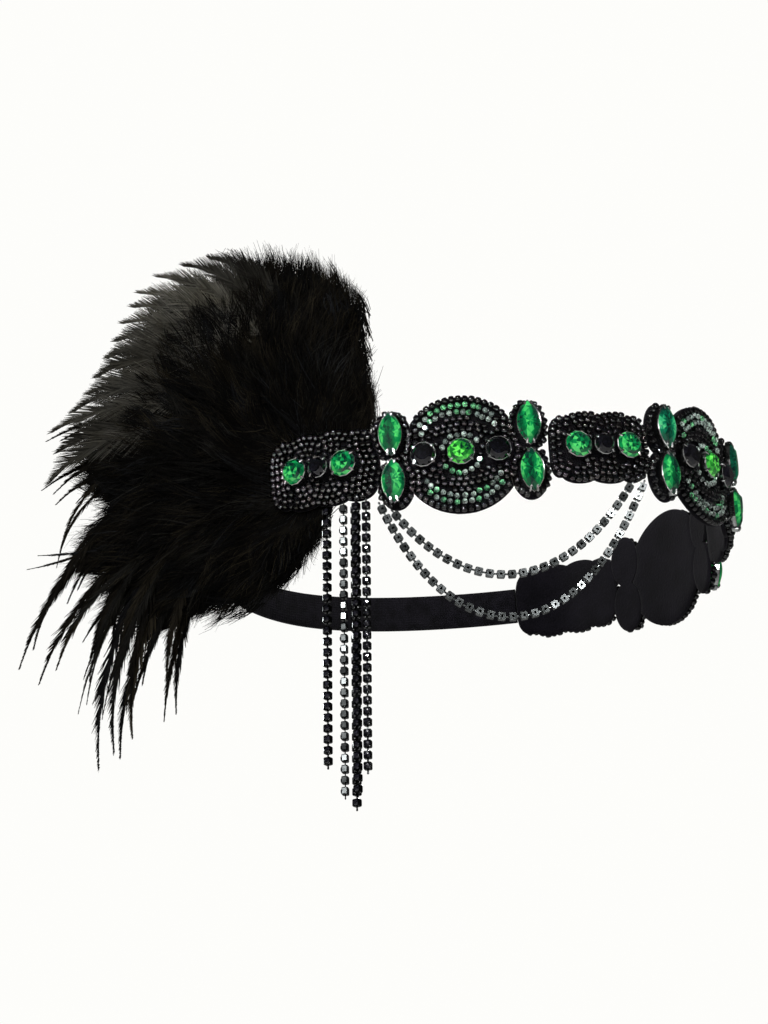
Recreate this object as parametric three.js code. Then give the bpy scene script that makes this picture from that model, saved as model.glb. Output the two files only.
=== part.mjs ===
// A beaded flapper headband worn round the brow, in millimetres, with +Z up.
// The front of the head is towards -Y and the wearer's right, with the plume, towards -X.
// The origin is the centre of the head opening, at the band's mid height.

import * as THREE from 'three';

// Ring that the band's felt follows

const ringRadius = 81.5;
const ringOval = 0.029;
const ringEgg = 0.024;
const ringWave = 2;
const browLift = 3.8;

// Felt-backed units

const feltThickness = 1.2;
const beadBed = 1.6;
const edgeSlope = 1.1;
const joinGap = 0.6;
const seatGap = 0.3;

const medallionRadius = 19.3;
const scallopWidth = 33.4;
const scallopHeight = 23.6;
const endWidth = 38.2;
const endHeight = 24.6;
const boxiness = 4.5;
const lobePitch = 10.4;
const lobeDepth = 1.4;
const lobeShift = 2.6;
const navetteLobeHalfWidth = 5.9;
const navetteLobeHalfHeight = 8.6;
const navetteLobeOffset = 7.8;

// Pitches between the units' middles round the ring: how far medallions and end panels tuck in
// between the lobes of a navette pair, and the space that a scalloped panel leaves beside one

const medallionTuck = 4.25;
const endTuck = 1.2;
const scallopSpace = 0.45;
const medallionToNavette = medallionRadius + navetteLobeHalfWidth - medallionTuck;
const navetteToScallop = scallopWidth / 2 + navetteLobeHalfWidth + scallopSpace;
const navetteToEnd = endWidth / 2 + navetteLobeHalfWidth - endTuck;

// Stones, each fused to its claw setting

const roundStoneRadius = 4.4;
const blackStoneRadius = 3.5;
const wideBlackRadius = 4.1;
const roundPitch = 8.3;
const wideBlackPitch = 11.3;
const navetteHalfLength = 7.5;
const navetteHalfWidth = 3.9;
const settingHeight = 1.6;
const settingLip = 0.35;
const stoneHeight = 1.9;
const tableShare = 0.55;
const roundSides = 10;
const navetteSides = 12;

// Points round each unit's outline

const panelPoints = 44;
const medallionPoints = 32;
const pairPoints = 24;

// Elastic strap round the back of the head

const strapWidth = 12;
const strapThickness = 1.2;
const strapTuck = 10;
const strapGap = 0.4;

// Feather plume on its felt pad behind the right end panel

const plumeRearward = 5;
const plumeSplay = 12;
const plumeReach = 115;
const plumeBulge = 13;
const padRadius = 9.5;
const padThickness = 0.9;
const padGap = 0.55;
const firstShare = 0.85;

// Each lock's direction in degrees from straight back, up positive, with its tip's reach as a share
// of plumeReach, its fullness as a share of plumeBulge, and how deep the gap after it cuts the outline
const plumeLocks = [
  { angle: 140, reach: 0.25, fullness: 0.0, gap: 0.05 },
  { angle: 128, reach: 0.31, fullness: 0.35, gap: 0.05 },
  { angle: 117, reach: 0.38, fullness: 0.6, gap: 0.06 },
  { angle: 107, reach: 0.53, fullness: 0.8, gap: 0.08 },
  { angle: 97, reach: 0.59, fullness: 0.9, gap: 0.07 },
  { angle: 87, reach: 0.65, fullness: 1.0, gap: 0.06 },
  { angle: 77, reach: 0.69, fullness: 1.0, gap: 0.07 },
  { angle: 68, reach: 0.7, fullness: 1.0, gap: 0.09 },
  { angle: 58, reach: 0.73, fullness: 1.0, gap: 0.12 },
  { angle: 47, reach: 0.67, fullness: 1.0, gap: 0.08 },
  { angle: 36, reach: 0.66, fullness: 1.0, gap: 0.08 },
  { angle: 25, reach: 0.7, fullness: 1.0, gap: 0.12 },
  { angle: 16, reach: 0.75, fullness: 0.9, gap: 0.12 },
  { angle: 5, reach: 0.76, fullness: 0.9, gap: 0.14 },
  { angle: -8, reach: 0.82, fullness: 0.9, gap: 0.22 },
  { angle: -19, reach: 0.83, fullness: 0.8, gap: 0.2 },
  { angle: -26, reach: 0.96, fullness: 0.7, gap: 0.25 },
  { angle: -33, reach: 0.88, fullness: 0.7, gap: 0.3 },
  { angle: -40, reach: 0.92, fullness: 0.6, gap: 0.3 },
  { angle: -47, reach: 1.0, fullness: 0.5, gap: 0.35 },
  { angle: -54, reach: 0.5, fullness: 0.5, gap: 0.2 },
  { angle: -62, reach: 0.36, fullness: 0.3, gap: 0.1 },
  { angle: -71, reach: 0.25, fullness: 0.0, gap: 0.05 },
];

// Cup chains

const cupWidth = 2.5;
const cupDepth = 1.9;
const cupLength = 2.6;
const linkWidth = 0.9;
const chainPitch = 3.5;
const cupStoneHeight = 0.6;
const cupTableShare = 0.6;
const hangGap = 0.35;

// Fringe strands: where each hangs along the end panel from its middle, as a share of its width, how
// far out from the felt's inner face, as a share of the panel's thickness, its cups, and how far the
// strand has turned about its own line, in degrees
const fringeStrands = [
  { along: -0.016, depth: 0.5, cups: 24, turn: 0 },
  { along: -0.168, depth: 0.5, cups: 27, turn: 80 },
  { along: -0.283, depth: 0.68, cups: 27, turn: 10 },
  { along: -0.364, depth: 0.5, cups: 25, turn: -5 },
  { along: -0.241, depth: -0.39, cups: 28, turn: 15 },
];

// Swags from the last navette pair to the scalloped panel: where each starts along the pair and ends
// along the panel, as shares of their half widths from the middle, and its spare length as a share
const swags = [
  { name: 'upper', start: 0.27, end: -0.61, spare: 0.26 },
  { name: 'lower', start: 0.95, end: -0.89, spare: 0.46 },
];

// Finishes

const beadedFelt = new THREE.MeshStandardMaterial({ color: 0x141318, roughness: 0.55, metalness: 0.1 });
const blackElastic = new THREE.MeshStandardMaterial({ color: 0x17151d, roughness: 0.9, metalness: 0 });
const greenGlass = new THREE.MeshStandardMaterial({ color: 0x07a84e, roughness: 0.1, metalness: 0.1 });
const blackGlass = new THREE.MeshStandardMaterial({ color: 0x08080a, roughness: 0.08, metalness: 0.1 });
const gunmetal = new THREE.MeshStandardMaterial({ color: 0x34373a, roughness: 0.35, metalness: 0.9 });
const blackFeather = new THREE.MeshStandardMaterial({ color: 0x0f0e0c, roughness: 0.95, metalness: 0 });

// Closed bodies from rings of points

// Joins rings of equal count into one closed body; a ring of one point closes as a tip, and an end
// ring of many points gets a flat cap.
function closedBody(rings) {
  const points = [];
  const faces = [];
  const starts = rings.map((ring) => {
    const start = points.length;
    points.push(...ring);
    return start;
  });
  for (let i = 0; i + 1 < rings.length; i += 1) {
    const count = Math.max(rings[i].length, rings[i + 1].length);
    for (let j = 0; j < count; j += 1) {
      const next = (j + 1) % count;
      const a = starts[i] + (rings[i].length > 1 ? j : 0);
      const b = starts[i] + (rings[i].length > 1 ? next : 0);
      const c = starts[i + 1] + (rings[i + 1].length > 1 ? next : 0);
      const d = starts[i + 1] + (rings[i + 1].length > 1 ? j : 0);
      if (a !== b) faces.push([a, b, c]);
      if (c !== d) faces.push([a, c, d]);
    }
  }
  for (let j = 1; j + 1 < rings[0].length; j += 1) faces.push([starts[0], starts[0] + j + 1, starts[0] + j]);
  const last = starts[rings.length - 1];
  for (let j = 1; j + 1 < rings[rings.length - 1].length; j += 1) faces.push([last, last + j, last + j + 1]);
  return facesOut(points, faces);
}

// Turns a list of points and triangles into a geometry whose faces point outwards.
function facesOut(points, faces) {
  const volume = faces.reduce((sum, [a, b, c]) => (
    sum + points[a].dot(new THREE.Vector3().crossVectors(points[b], points[c]))
  ), 0);
  const outward = volume > 0 ? faces : faces.map(([a, b, c]) => [a, c, b]);
  const geometry = new THREE.BufferGeometry();
  geometry.setAttribute('position', new THREE.Float32BufferAttribute(points.flatMap((p) => p.toArray()), 3));
  geometry.setIndex(outward.flat());
  geometry.computeVertexNormals();
  return geometry;
}

// The ring as a table of points, one for each small step round the head from the front

const ringSteps = 1440;
const ringTable = [];
for (let i = -ringSteps; i <= ringSteps; i += 1) {
  const angle = (i / ringSteps) * 1.2 * Math.PI;
  const radius = ringRadius * (1 + ringOval * Math.cos(2 * angle) + ringEgg * Math.cos(3 * angle));
  ringTable.push(new THREE.Vector3(
    -radius * Math.sin(angle),
    -radius * Math.cos(angle),
    ringWave * Math.cos(3 * angle),
  ));
}
const ringLengths = [0];
for (let i = 1; i < ringTable.length; i += 1) {
  const step = Math.hypot(ringTable[i].x - ringTable[i - 1].x, ringTable[i].y - ringTable[i - 1].y);
  ringLengths.push(ringLengths[i - 1] + step);
}
const frontLength = ringLengths[ringSteps];
const halfTurn = Math.round(ringSteps / 1.2);
const girth = 2 * (ringLengths[ringSteps + halfTurn] - frontLength);

// The point of the ring at a length from the front, positive towards the wearer's right.
function ringPoint(length) {
  const wanted = length + frontLength;
  let low = 0;
  let high = ringLengths.length - 1;
  while (high - low > 1) {
    const middle = (low + high) >> 1;
    if (ringLengths[middle] > wanted) high = middle;
    else low = middle;
  }
  const share = (wanted - ringLengths[low]) / (ringLengths[high] - ringLengths[low]);
  return ringTable[low].clone().lerp(ringTable[high], share);
}

// The directions along the ring and out of it at a length from the front.
function ringDirections(length) {
  const along = ringPoint(length + 0.4).sub(ringPoint(length - 0.4)).setZ(0).normalize();
  const out = new THREE.Vector3().crossVectors(new THREE.Vector3(0, 0, 1), along);
  return { along, out };
}

// A point of the band from its length round the ring, its height and its depth out from the felt.
function bandPoint(length, height, depth) {
  const point = ringPoint(length).addScaledVector(ringDirections(length).out, depth);
  point.z += height;
  return point;
}

// Outlines of the units, as tests in a unit's own flat coordinates

function inMedallion(u, v) {
  return Math.hypot(u, v) < medallionRadius;
}

function inNavettePair(u, v, grown) {
  const across = u / (navetteLobeHalfWidth + grown);
  const height = navetteLobeHalfHeight + grown;
  return [-1, 1].some((side) => Math.hypot(across, (v - side * navetteLobeOffset) / height) < 1);
}

// A rounded panel with scalloped long edges, whose cusps lie a lobe's pitch apart.
function inScalloped(width, height, u, v) {
  const across = Math.abs(2 * u / width);
  if (across >= 1) return false;
  const rounded = (height / 2) * (1 - across ** boxiness) ** (1 / boxiness);
  const cusp = v > 0 ? 0 : lobeShift;
  const lobe = Math.abs(Math.sin((Math.PI * (u - cusp)) / lobePitch));
  return Math.abs(v) < rounded - lobeDepth * (1 - Math.sqrt(lobe));
}

// Farther than any unit's edge lies from its middle
const searchReach = 2 * Math.max(endWidth, scallopWidth, medallionRadius);

// How far an outline reaches from its middle in one direction.
function outlineReach(inside, angle) {
  let near = 0;
  let far = searchReach;
  while (far - near > 0.005) {
    const middle = (near + far) / 2;
    let all = true;
    for (let step = 1; step <= 8 && all; step += 1) {
      const distance = near + ((middle - near) * step) / 8;
      all = inside(distance * Math.cos(angle), distance * Math.sin(angle));
    }
    if (all) near = middle;
    else far = middle;
  }
  return near;
}

// The units in order from the wearer's right to the front, each with its place round the ring

const scallopAt = medallionToNavette + navetteToScallop;
const navetteTwoAt = scallopAt + navetteToScallop;
const medallionAt = navetteTwoAt + medallionToNavette;
const navetteOneAt = medallionAt + medallionToNavette;
const endAt = navetteOneAt + navetteToEnd;

const inScallopPanel = (u, v) => inScalloped(scallopWidth, scallopHeight, u, v);
const inEndPanel = (u, v) => inScalloped(endWidth, endHeight, u, v);
const inPair = (u, v) => inNavettePair(u, v, 0);

const sideUnits = [
  { name: 'end_panel', at: endAt, inside: inEndPanel, points: panelPoints, row: 'panel' },
  { name: 'navette_pair', number: 1, at: navetteOneAt, inside: inPair, points: pairPoints, row: 'pair' },
  { name: 'medallion', at: medallionAt, inside: inMedallion, points: medallionPoints, row: 'medallion' },
  { name: 'navette_pair', number: 2, at: navetteTwoAt, inside: inPair, points: pairPoints, row: 'pair' },
  { name: 'scalloped_panel', at: scallopAt, inside: inScallopPanel, points: panelPoints, row: 'panel' },
  { name: 'navette_pair', number: 3, at: medallionToNavette, inside: inPair, points: pairPoints, row: 'pair' },
];

const units = [{ name: 'medallion_front', at: 0, inside: inMedallion, points: medallionPoints, row: 'medallion' }];
for (const side of ['right', 'left']) {
  const mirror = side === 'right' ? 1 : -1;
  for (const unit of sideUnits) {
    const name = `${unit.name}_${side}${unit.number ? `_${unit.number}` : ''}`;
    const inside = (u, v) => unit.inside(mirror * u, v);
    units.push({ ...unit, name, at: mirror * unit.at, inside });
  }
}
const unitNamed = (name) => units.find((unit) => unit.name === name);
const pairPlaces = units.filter((unit) => unit.row === 'pair').map((unit) => unit.at);

// A unit's outline with the navette pairs beside it cut out, so that they lie edge to edge.
function trimmedInside(unit) {
  if (unit.row === 'pair') return unit.inside;
  return (u, v) => unit.inside(u, v)
    && !pairPlaces.some((place) => inNavettePair(unit.at + u - place, v, joinGap));
}

// A unit's curved plate: felt at the back, and a bed of beads whose edge slopes in at the front.
function unitPlate(unit) {
  const inside = trimmedInside(unit);
  const total = feltThickness + beadBed;
  const rim = [];
  for (let i = 0; i < unit.points; i += 1) {
    const angle = ((i + 0.5) / unit.points) * 2 * Math.PI;
    const reach = outlineReach(inside, angle);
    rim.push({ u: reach * Math.cos(angle), v: reach * Math.sin(angle), reach });
  }
  const ringAt = (inset, share, depth) => rim.map(({ u, v, reach }) => {
    const scale = ((reach - inset) / reach) * share;
    return bandPoint(unit.at + u * scale, v * scale, depth);
  });
  return closedBody([
    [bandPoint(unit.at, 0, 0)],
    ringAt(0, 0.55, 0),
    ringAt(0, 1, 0),
    ringAt(0, 1, feltThickness + beadBed / 3),
    ringAt(edgeSlope, 1, total),
    ringAt(edgeSlope, 0.55, total),
    [bandPoint(unit.at, 0, total)],
  ]);
}

// Stones: a setting wall with a lip, the stone's girdle, its sloping facets and its flat table

// The turn moves the corners by a share of a side, so that a pointed stone keeps its tips.
function stoneGeometry(sides, reachAt, turn) {
  const ring = (share, inset, height) => Array.from({ length: sides }, (_, i) => {
    const angle = ((i + turn) / sides) * 2 * Math.PI;
    const reach = (reachAt(angle) - inset) * share;
    return new THREE.Vector3(reach * Math.cos(angle), reach * Math.sin(angle), height);
  });
  const top = settingHeight + stoneHeight;
  return closedBody([
    ring(1, settingLip, 0),
    ring(1, 0, settingHeight),
    ring(1, settingLip, settingHeight + 0.25),
    ring(tableShare, settingLip, top),
  ]);
}

const roundStone = (radius) => stoneGeometry(roundSides, () => radius, 0.5);

// A pointed oval: two equal arcs that meet at the tips, as a reach in each direction.
function navetteReach(angle) {
  const arcRadius = (navetteHalfLength ** 2 + navetteHalfWidth ** 2) / (2 * navetteHalfWidth);
  const offset = arcRadius - navetteHalfWidth;
  const across = Math.abs(Math.cos(angle)) * offset;
  return Math.sqrt(arcRadius ** 2 - offset ** 2 + across ** 2) - across;
}

// Seats a stone on the bead bed of the band, its table facing out.
function seatStone(geometry, material, name, length, height) {
  const { along, out } = ringDirections(length);
  const up = new THREE.Vector3(0, 0, 1);
  const mesh = new THREE.Mesh(geometry, material);
  mesh.name = name;
  mesh.position.copy(bandPoint(length, height, feltThickness + beadBed + seatGap));
  mesh.quaternion.setFromRotationMatrix(new THREE.Matrix4().makeBasis(along.clone().negate(), up, out));
  return mesh;
}

function stonesOf(unit) {
  const suffix = unit.name;
  if (unit.row === 'pair') {
    const shape = stoneGeometry(navetteSides, navetteReach, 0);
    return [['upper', 1], ['lower', -1]].map(([place, side]) => (
      seatStone(shape, greenGlass, `green_navette_${suffix}_${place}`, unit.at, side * navetteLobeOffset)
    ));
  }
  if (unit.row === 'medallion') {
    return [
      seatStone(roundStone(roundStoneRadius), greenGlass, `green_stone_${suffix}`, unit.at, 0),
      seatStone(roundStone(wideBlackRadius), blackGlass, `black_stone_${suffix}_a`, unit.at + wideBlackPitch, 0),
      seatStone(roundStone(wideBlackRadius), blackGlass, `black_stone_${suffix}_b`, unit.at - wideBlackPitch, 0),
    ];
  }
  return [
    seatStone(roundStone(blackStoneRadius), blackGlass, `black_stone_${suffix}`, unit.at, 0),
    seatStone(roundStone(roundStoneRadius), greenGlass, `green_stone_${suffix}_a`, unit.at + roundPitch, 0),
    seatStone(roundStone(roundStoneRadius), greenGlass, `green_stone_${suffix}_b`, unit.at - roundPitch, 0),
  ];
}

// The elastic runs from behind the right end panel, round the nape, to the left end panel's edge

function strapGeometry() {
  const start = endAt + endWidth / 2 - strapTuck;
  const end = girth - endAt - endWidth / 2 - strapGap;
  const innerStart = -padThickness - 2 * padGap - strapThickness;
  const innerEnd = (feltThickness + beadBed - strapThickness) / 2;
  const steps = 44;
  const rings = [];
  for (let i = 0; i <= steps; i += 1) {
    const share = i / steps;
    const length = start + (end - start) * share;
    const wrapped = length > girth / 2 ? length - girth : length;
    const depth = innerStart + (innerEnd - innerStart) * share;
    rings.push([
      bandPoint(wrapped, strapWidth / 2, depth),
      bandPoint(wrapped, strapWidth / 2, depth + strapThickness),
      bandPoint(wrapped, -strapWidth / 2, depth + strapThickness),
      bandPoint(wrapped, -strapWidth / 2, depth),
    ]);
  }
  return closedBody(rings);
}

// The plume: a thin felt pad between panel and strap, whose feathers spread into locks past the panel

function plumeGeometry() {
  const root = endAt + plumeRearward;
  const origin = bandPoint(root, 0, 0);
  const { along, out } = ringDirections(root);
  const splay = THREE.MathUtils.degToRad(plumeSplay);
  const rearward = along.clone().multiplyScalar(Math.cos(splay)).addScaledVector(out, Math.sin(splay));
  const up = new THREE.Vector3(0, 0, 1);
  const padOuter = -padGap;
  const padInner = padOuter - padThickness;
  const ringFall = (x) => -bandPoint(root + x, 0, 0).sub(origin).dot(out);

  // Outline of the locks: a tip at each row and a gap half way to the next, then the bare pad
  const outline = [];
  plumeLocks.forEach((lock, i) => {
    outline.push({ angle: lock.angle, reach: lock.reach * plumeReach, fullness: lock.fullness });
    const next = plumeLocks[i + 1];
    if (!next) return;
    outline.push({
      angle: (lock.angle + next.angle) / 2,
      reach: Math.min(lock.reach, next.reach) * (1 - lock.gap) * plumeReach,
      fullness: 0.7 * Math.min(lock.fullness, next.fullness),
    });
  });
  const firstAngle = plumeLocks[0].angle;
  const lastAngle = plumeLocks[plumeLocks.length - 1].angle;
  const bareSteps = 8;
  for (let i = 1; i < bareSteps; i += 1) {
    const angle = lastAngle - ((360 - firstAngle + lastAngle) * i) / bareSteps;
    outline.push({ angle, reach: padRadius, fullness: 0 });
  }

  const edgeOf = (radians) => (
    outlineReach((x, z) => inEndPanel(x + plumeRearward, z), radians) + joinGap
  );
  const spots = outline.map((row) => {
    const radians = THREE.MathUtils.degToRad(row.angle);
    const first = Math.min(edgeOf(radians), firstShare * row.reach);
    return { ...row, radians, first };
  });

  // One point of the plume's outer (side 1) or inner (side -1) face, share going from panel edge to tip
  const facePoint = (spot, share, swell, side) => {
    const distance = spot.first + (spot.reach - spot.first) * share;
    const x = distance * Math.cos(spot.radians);
    const z = distance * Math.sin(spot.radians);
    const thin = side > 0 ? padOuter : padInner;
    const bulge = plumeBulge * spot.fullness * swell;
    if (x < 0 || share === 0) {
      const depth = side > 0 ? thin + bulge : thin - 0.1 * bulge;
      return bandPoint(root + x, z, depth);
    }
    const level = ringFall(0) - 0.6 * ringFall(x * Math.cos(splay));
    const lean = x * Math.sin(splay);
    const depth = side > 0 ? thin + lean + bulge : Math.max(thin + lean - 0.7 * bulge, thin + level);
    return origin.clone().addScaledVector(rearward, x).addScaledVector(out, depth - lean).addScaledVector(up, z);
  };
  const face = (share, swell, side) => spots.map((spot) => facePoint(spot, share, swell, side));
  const rimEdge = spots.map((spot) => (
    facePoint(spot, 1, 0, 1).add(facePoint(spot, 1, 0, -1)).multiplyScalar(0.5)
  ));
  const swells = [[0, 0], [0.22, 0.8], [0.5, 1], [0.8, 0.6]];
  return closedBody([
    [bandPoint(root, 0, padOuter)],
    ...swells.map(([share, swell]) => face(share, swell, 1)),
    rimEdge,
    ...swells.toReversed().map(([share, swell]) => face(share, swell, -1)),
    [bandPoint(root, 0, padInner)],
  ]);
}

// Cup chains: square cups with a faceted stone in each, joined by narrow links, fused in one body

// Builds a chain from the middles of its cups, with the line's direction and the stones' facing at each.
function chainGeometry(cups) {
  const points = [];
  const faces = [];
  const quad = (a, b, c, d) => faces.push([a, b, c], [a, c, d]);
  const section = (cup, offset, width, depth) => {
    const across = new THREE.Vector3().crossVectors(cup.line, cup.facing);
    const middle = cup.middle.clone().addScaledVector(cup.line, offset);
    const start = points.length;
    for (const [side, front] of [[-1, 1], [1, 1], [1, -1], [-1, -1]]) {
      points.push(middle.clone().addScaledVector(across, (side * width) / 2)
        .addScaledVector(cup.facing, (front * depth) / 2));
    }
    return start;
  };
  const band = (from, to, sides) => sides.forEach((i) => {
    quad(from + i, from + ((i + 1) % 4), to + ((i + 1) % 4), to + i);
  });
  const linkReach = chainPitch / 2;
  let previous = section(cups[0], -linkReach, linkWidth, linkWidth);
  quad(previous + 3, previous + 2, previous + 1, previous);
  for (const cup of cups) {
    const start = section(cup, -cupLength / 2, cupWidth, cupDepth);
    const end = section(cup, cupLength / 2, cupWidth, cupDepth);
    const link = section(cup, linkReach, linkWidth, linkWidth);
    band(previous, start, [0, 1, 2, 3]);
    band(start, end, [1, 2, 3]);
    band(end, link, [0, 1, 2, 3]);
    cupStone(cup, points, faces, [start, start + 1, end + 1, end]);
    previous = link;
  }
  quad(previous, previous + 1, previous + 2, previous + 3);
  return facesOut(points, faces);
}

// Closes a cup's front with a stone of eight facets and a flat table.
function cupStone(cup, points, faces, corners) {
  const middle = corners.reduce((sum, c) => sum.add(points[c]), new THREE.Vector3()).multiplyScalar(0.25);
  const table = points.length;
  corners.forEach((corner, i) => {
    for (const other of [(i + 3) % 4, (i + 1) % 4]) {
      const towards = points[corner].clone().lerp(points[corners[other]], 0.3).sub(middle);
      points.push(middle.clone().addScaledVector(towards, cupTableShare)
        .addScaledVector(cup.facing, cupStoneHeight));
    }
  });
  corners.forEach((corner, i) => {
    const next = (i + 1) % 4;
    const own = table + 2 * i;
    const nextFirst = table + 2 * next;
    faces.push([corner, own + 1, own]);
    faces.push([corner, corners[next], nextFirst], [corner, nextFirst, own + 1]);
  });
  for (let i = 1; i < 7; i += 1) faces.push([table, table + i, table + i + 1]);
}

// Turns a point or direction of the band into the upright frame that the chains hang in.
const lift = new THREE.Euler(THREE.MathUtils.degToRad(-browLift), 0, 0);
const lifted = (vector) => vector.clone().applyEuler(lift);

// How low a unit's lower edge is at a place along it, found from below.
function lowerEdge(unit, along) {
  let height = -searchReach;
  while (height < 0 && !unit.inside(along, height)) height += 0.05;
  return height;
}

// The point just under a unit's lower edge that a chain hangs from, clear of the edge by a cup's width.
function hangPoint(unit, along, depth) {
  const edges = [-0.5, 0, 0.5].map((share) => lowerEdge(unit, along + share * cupWidth));
  return lifted(bandPoint(unit.at + along, Math.min(...edges) - hangGap, depth));
}

function fringeCups(strand) {
  const unit = unitNamed('end_panel_right');
  const along = strand.along * endWidth;
  const top = hangPoint(unit, along, strand.depth * (feltThickness + beadBed));
  const line = new THREE.Vector3(0, 0, -1);
  const facing = lifted(ringDirections(unit.at + along).out).setZ(0).normalize()
    .applyAxisAngle(line, THREE.MathUtils.degToRad(strand.turn));
  return Array.from({ length: strand.cups }, (_, i) => (
    { middle: top.clone().addScaledVector(line, (i + 0.5) * chainPitch), line, facing }
  ));
}

// The sagging curve of a chain of a given length between two points, as a function of distance along it.
function hangingCurve(from, to, length) {
  const span = Math.hypot(to.x - from.x, to.y - from.y);
  const rise = to.z - from.z;
  const target = Math.sqrt(length ** 2 - rise ** 2) / span;
  let low = 0.01;
  let high = 12;
  for (let i = 0; i < 60; i += 1) {
    const middle = (low + high) / 2;
    if (Math.sinh(middle) / middle < target) low = middle;
    else high = middle;
  }
  const scale = span / (2 * low);
  const lowest = span / 2 - scale * Math.atanh(rise / length);
  const level = from.z - scale * Math.cosh(-lowest / scale);
  const startArc = scale * Math.sinh(-lowest / scale);
  return (distance) => {
    const across = lowest + scale * Math.asinh((distance + startArc) / scale);
    const point = from.clone().lerp(to, across / span);
    point.z = level + scale * Math.cosh((across - lowest) / scale);
    return point;
  };
}

function swagCups(swag) {
  const from = hangPoint(unitNamed('navette_pair_right_1'), swag.start * navetteLobeHalfWidth, feltThickness);
  const to = hangPoint(unitNamed('scalloped_panel_right'), (swag.end * scallopWidth) / 2, feltThickness);
  const count = Math.round((from.distanceTo(to) * (1 + swag.spare)) / chainPitch);
  const curve = hangingCurve(from, to, count * chainPitch);
  const sideways = to.clone().sub(from).setZ(0).normalize();
  const outward = new THREE.Vector3().crossVectors(sideways, new THREE.Vector3(0, 0, -1));
  return Array.from({ length: count }, (_, i) => {
    const middle = curve((i + 0.5) * chainPitch);
    const line = curve((i + 0.9) * chainPitch).sub(curve((i + 0.1) * chainPitch)).normalize();
    return { middle, line, facing: outward };
  });
}

// The assembled headband

function named(geometry, material, name) {
  const mesh = new THREE.Mesh(geometry, material);
  mesh.name = name;
  return mesh;
}

const band = new THREE.Group();
band.rotation.copy(lift);
for (const unit of units) band.add(named(unitPlate(unit), beadedFelt, unit.name), ...stonesOf(unit));
band.add(named(strapGeometry(), blackElastic, 'elastic_strap'));
band.add(named(plumeGeometry(), blackFeather, 'feather_plume'));

const headband = new THREE.Group();
headband.add(band);
fringeStrands.forEach((strand, i) => {
  headband.add(named(chainGeometry(fringeCups(strand)), gunmetal, `fringe_strand_${i + 1}`));
});
for (const swag of swags) headband.add(named(chainGeometry(swagCups(swag)), gunmetal, `swag_${swag.name}`));

export default headband;
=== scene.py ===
"""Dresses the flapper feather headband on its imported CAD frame.

Lengths are in metres, +Z is up, the front of the head is towards -Y and the wearer's right towards -X.
"""

import logging
import math
from dataclasses import dataclass, field
from enum import Enum
from typing import Callable, Sequence

import bpy
import numpy as np
from mathutils import Matrix, Vector


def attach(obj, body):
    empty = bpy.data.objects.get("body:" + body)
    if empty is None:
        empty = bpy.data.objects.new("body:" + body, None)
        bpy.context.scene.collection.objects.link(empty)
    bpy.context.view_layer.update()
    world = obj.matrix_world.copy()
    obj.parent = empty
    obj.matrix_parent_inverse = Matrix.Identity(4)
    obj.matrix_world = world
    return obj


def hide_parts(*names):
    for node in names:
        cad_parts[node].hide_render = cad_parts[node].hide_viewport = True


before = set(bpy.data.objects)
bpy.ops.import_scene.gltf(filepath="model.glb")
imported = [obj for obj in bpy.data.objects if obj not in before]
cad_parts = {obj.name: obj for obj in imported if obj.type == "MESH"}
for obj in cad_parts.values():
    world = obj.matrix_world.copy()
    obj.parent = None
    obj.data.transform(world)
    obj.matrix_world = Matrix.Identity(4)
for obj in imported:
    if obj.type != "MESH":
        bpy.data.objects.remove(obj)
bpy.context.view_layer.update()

LOG = logging.getLogger("headband")
BODY = "root"
Z = np.array([0.0, 0.0, 1.0])


class Slot(Enum):
    """The record's material slots."""

    FELT = "beaded_felt"
    ELASTIC = "elastic"
    GREEN = "green_stone"
    BLACK = "black_stone"
    CHAIN = "chain_metal"
    FEATHER = "feather"


class UnitKind(Enum):
    """The four kinds of beaded felt units along the band."""

    MEDALLION = "medallion"
    PAIR = "navette_pair"
    SCALLOPED = "scalloped_panel"
    END = "end_panel"


# Small helpers for vectors


def unit(v: np.ndarray) -> np.ndarray:
    """Returns vectors scaled to length one along their last axis."""
    return v / np.maximum(np.linalg.norm(v, axis=-1, keepdims=True), 1e-12)


def smooth(t: np.ndarray) -> np.ndarray:
    """Returns a soft step from 0 to 1 as t goes from 0 to 1."""
    t = np.clip(t, 0.0, 1.0)
    return t * t * (3 - 2 * t)


def round_steps(count: int, first: float = 0.0) -> np.ndarray:
    """Returns evenly spaced angles once round, the first of them a share of a step on."""
    return (np.arange(count) + first) / count * 2 * math.pi


def grid_faces(
    rows: int, columns: int, wrap_rows: bool = False, wrap_columns: bool = True
) -> np.ndarray:
    """Works out the four-sided faces of a grid of points.

    Args:
        rows: How many rows the grid has.
        columns: How many points each row has.
        wrap_rows: Whether the last row joins the first.
        wrap_columns: Whether each row closes into a ring.

    Returns:
        The faces, row by row.
    """
    i = np.arange(rows if wrap_rows else rows - 1)[:, None]
    j = np.arange(columns if wrap_columns else columns - 1)[None]
    k, m = (i + 1) % rows, (j + 1) % columns
    corners = [i * columns + j, i * columns + m, k * columns + m, k * columns + j]
    return np.stack(corners, axis=-1).reshape(-1, 4)


def ribbon_faces(count: int, segments: int) -> np.ndarray:
    """Works out the faces of flat ribbons whose points come in pairs.

    Args:
        count: How many ribbons there are.
        segments: How many faces each has.

    Returns:
        The four-sided faces, ribbon by ribbon.
    """
    k = np.arange(count)[:, None] * 2 * (segments + 1) + np.arange(segments)[None] * 2
    return np.stack([k, k + 1, k + 3, k + 2], axis=-1).reshape(-1, 4)


def placed(points: np.ndarray, matrix: np.ndarray) -> np.ndarray:
    """Returns points moved by a 3 by 4 matrix."""
    return points @ matrix[:, :3].T + matrix[:, 3]


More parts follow.
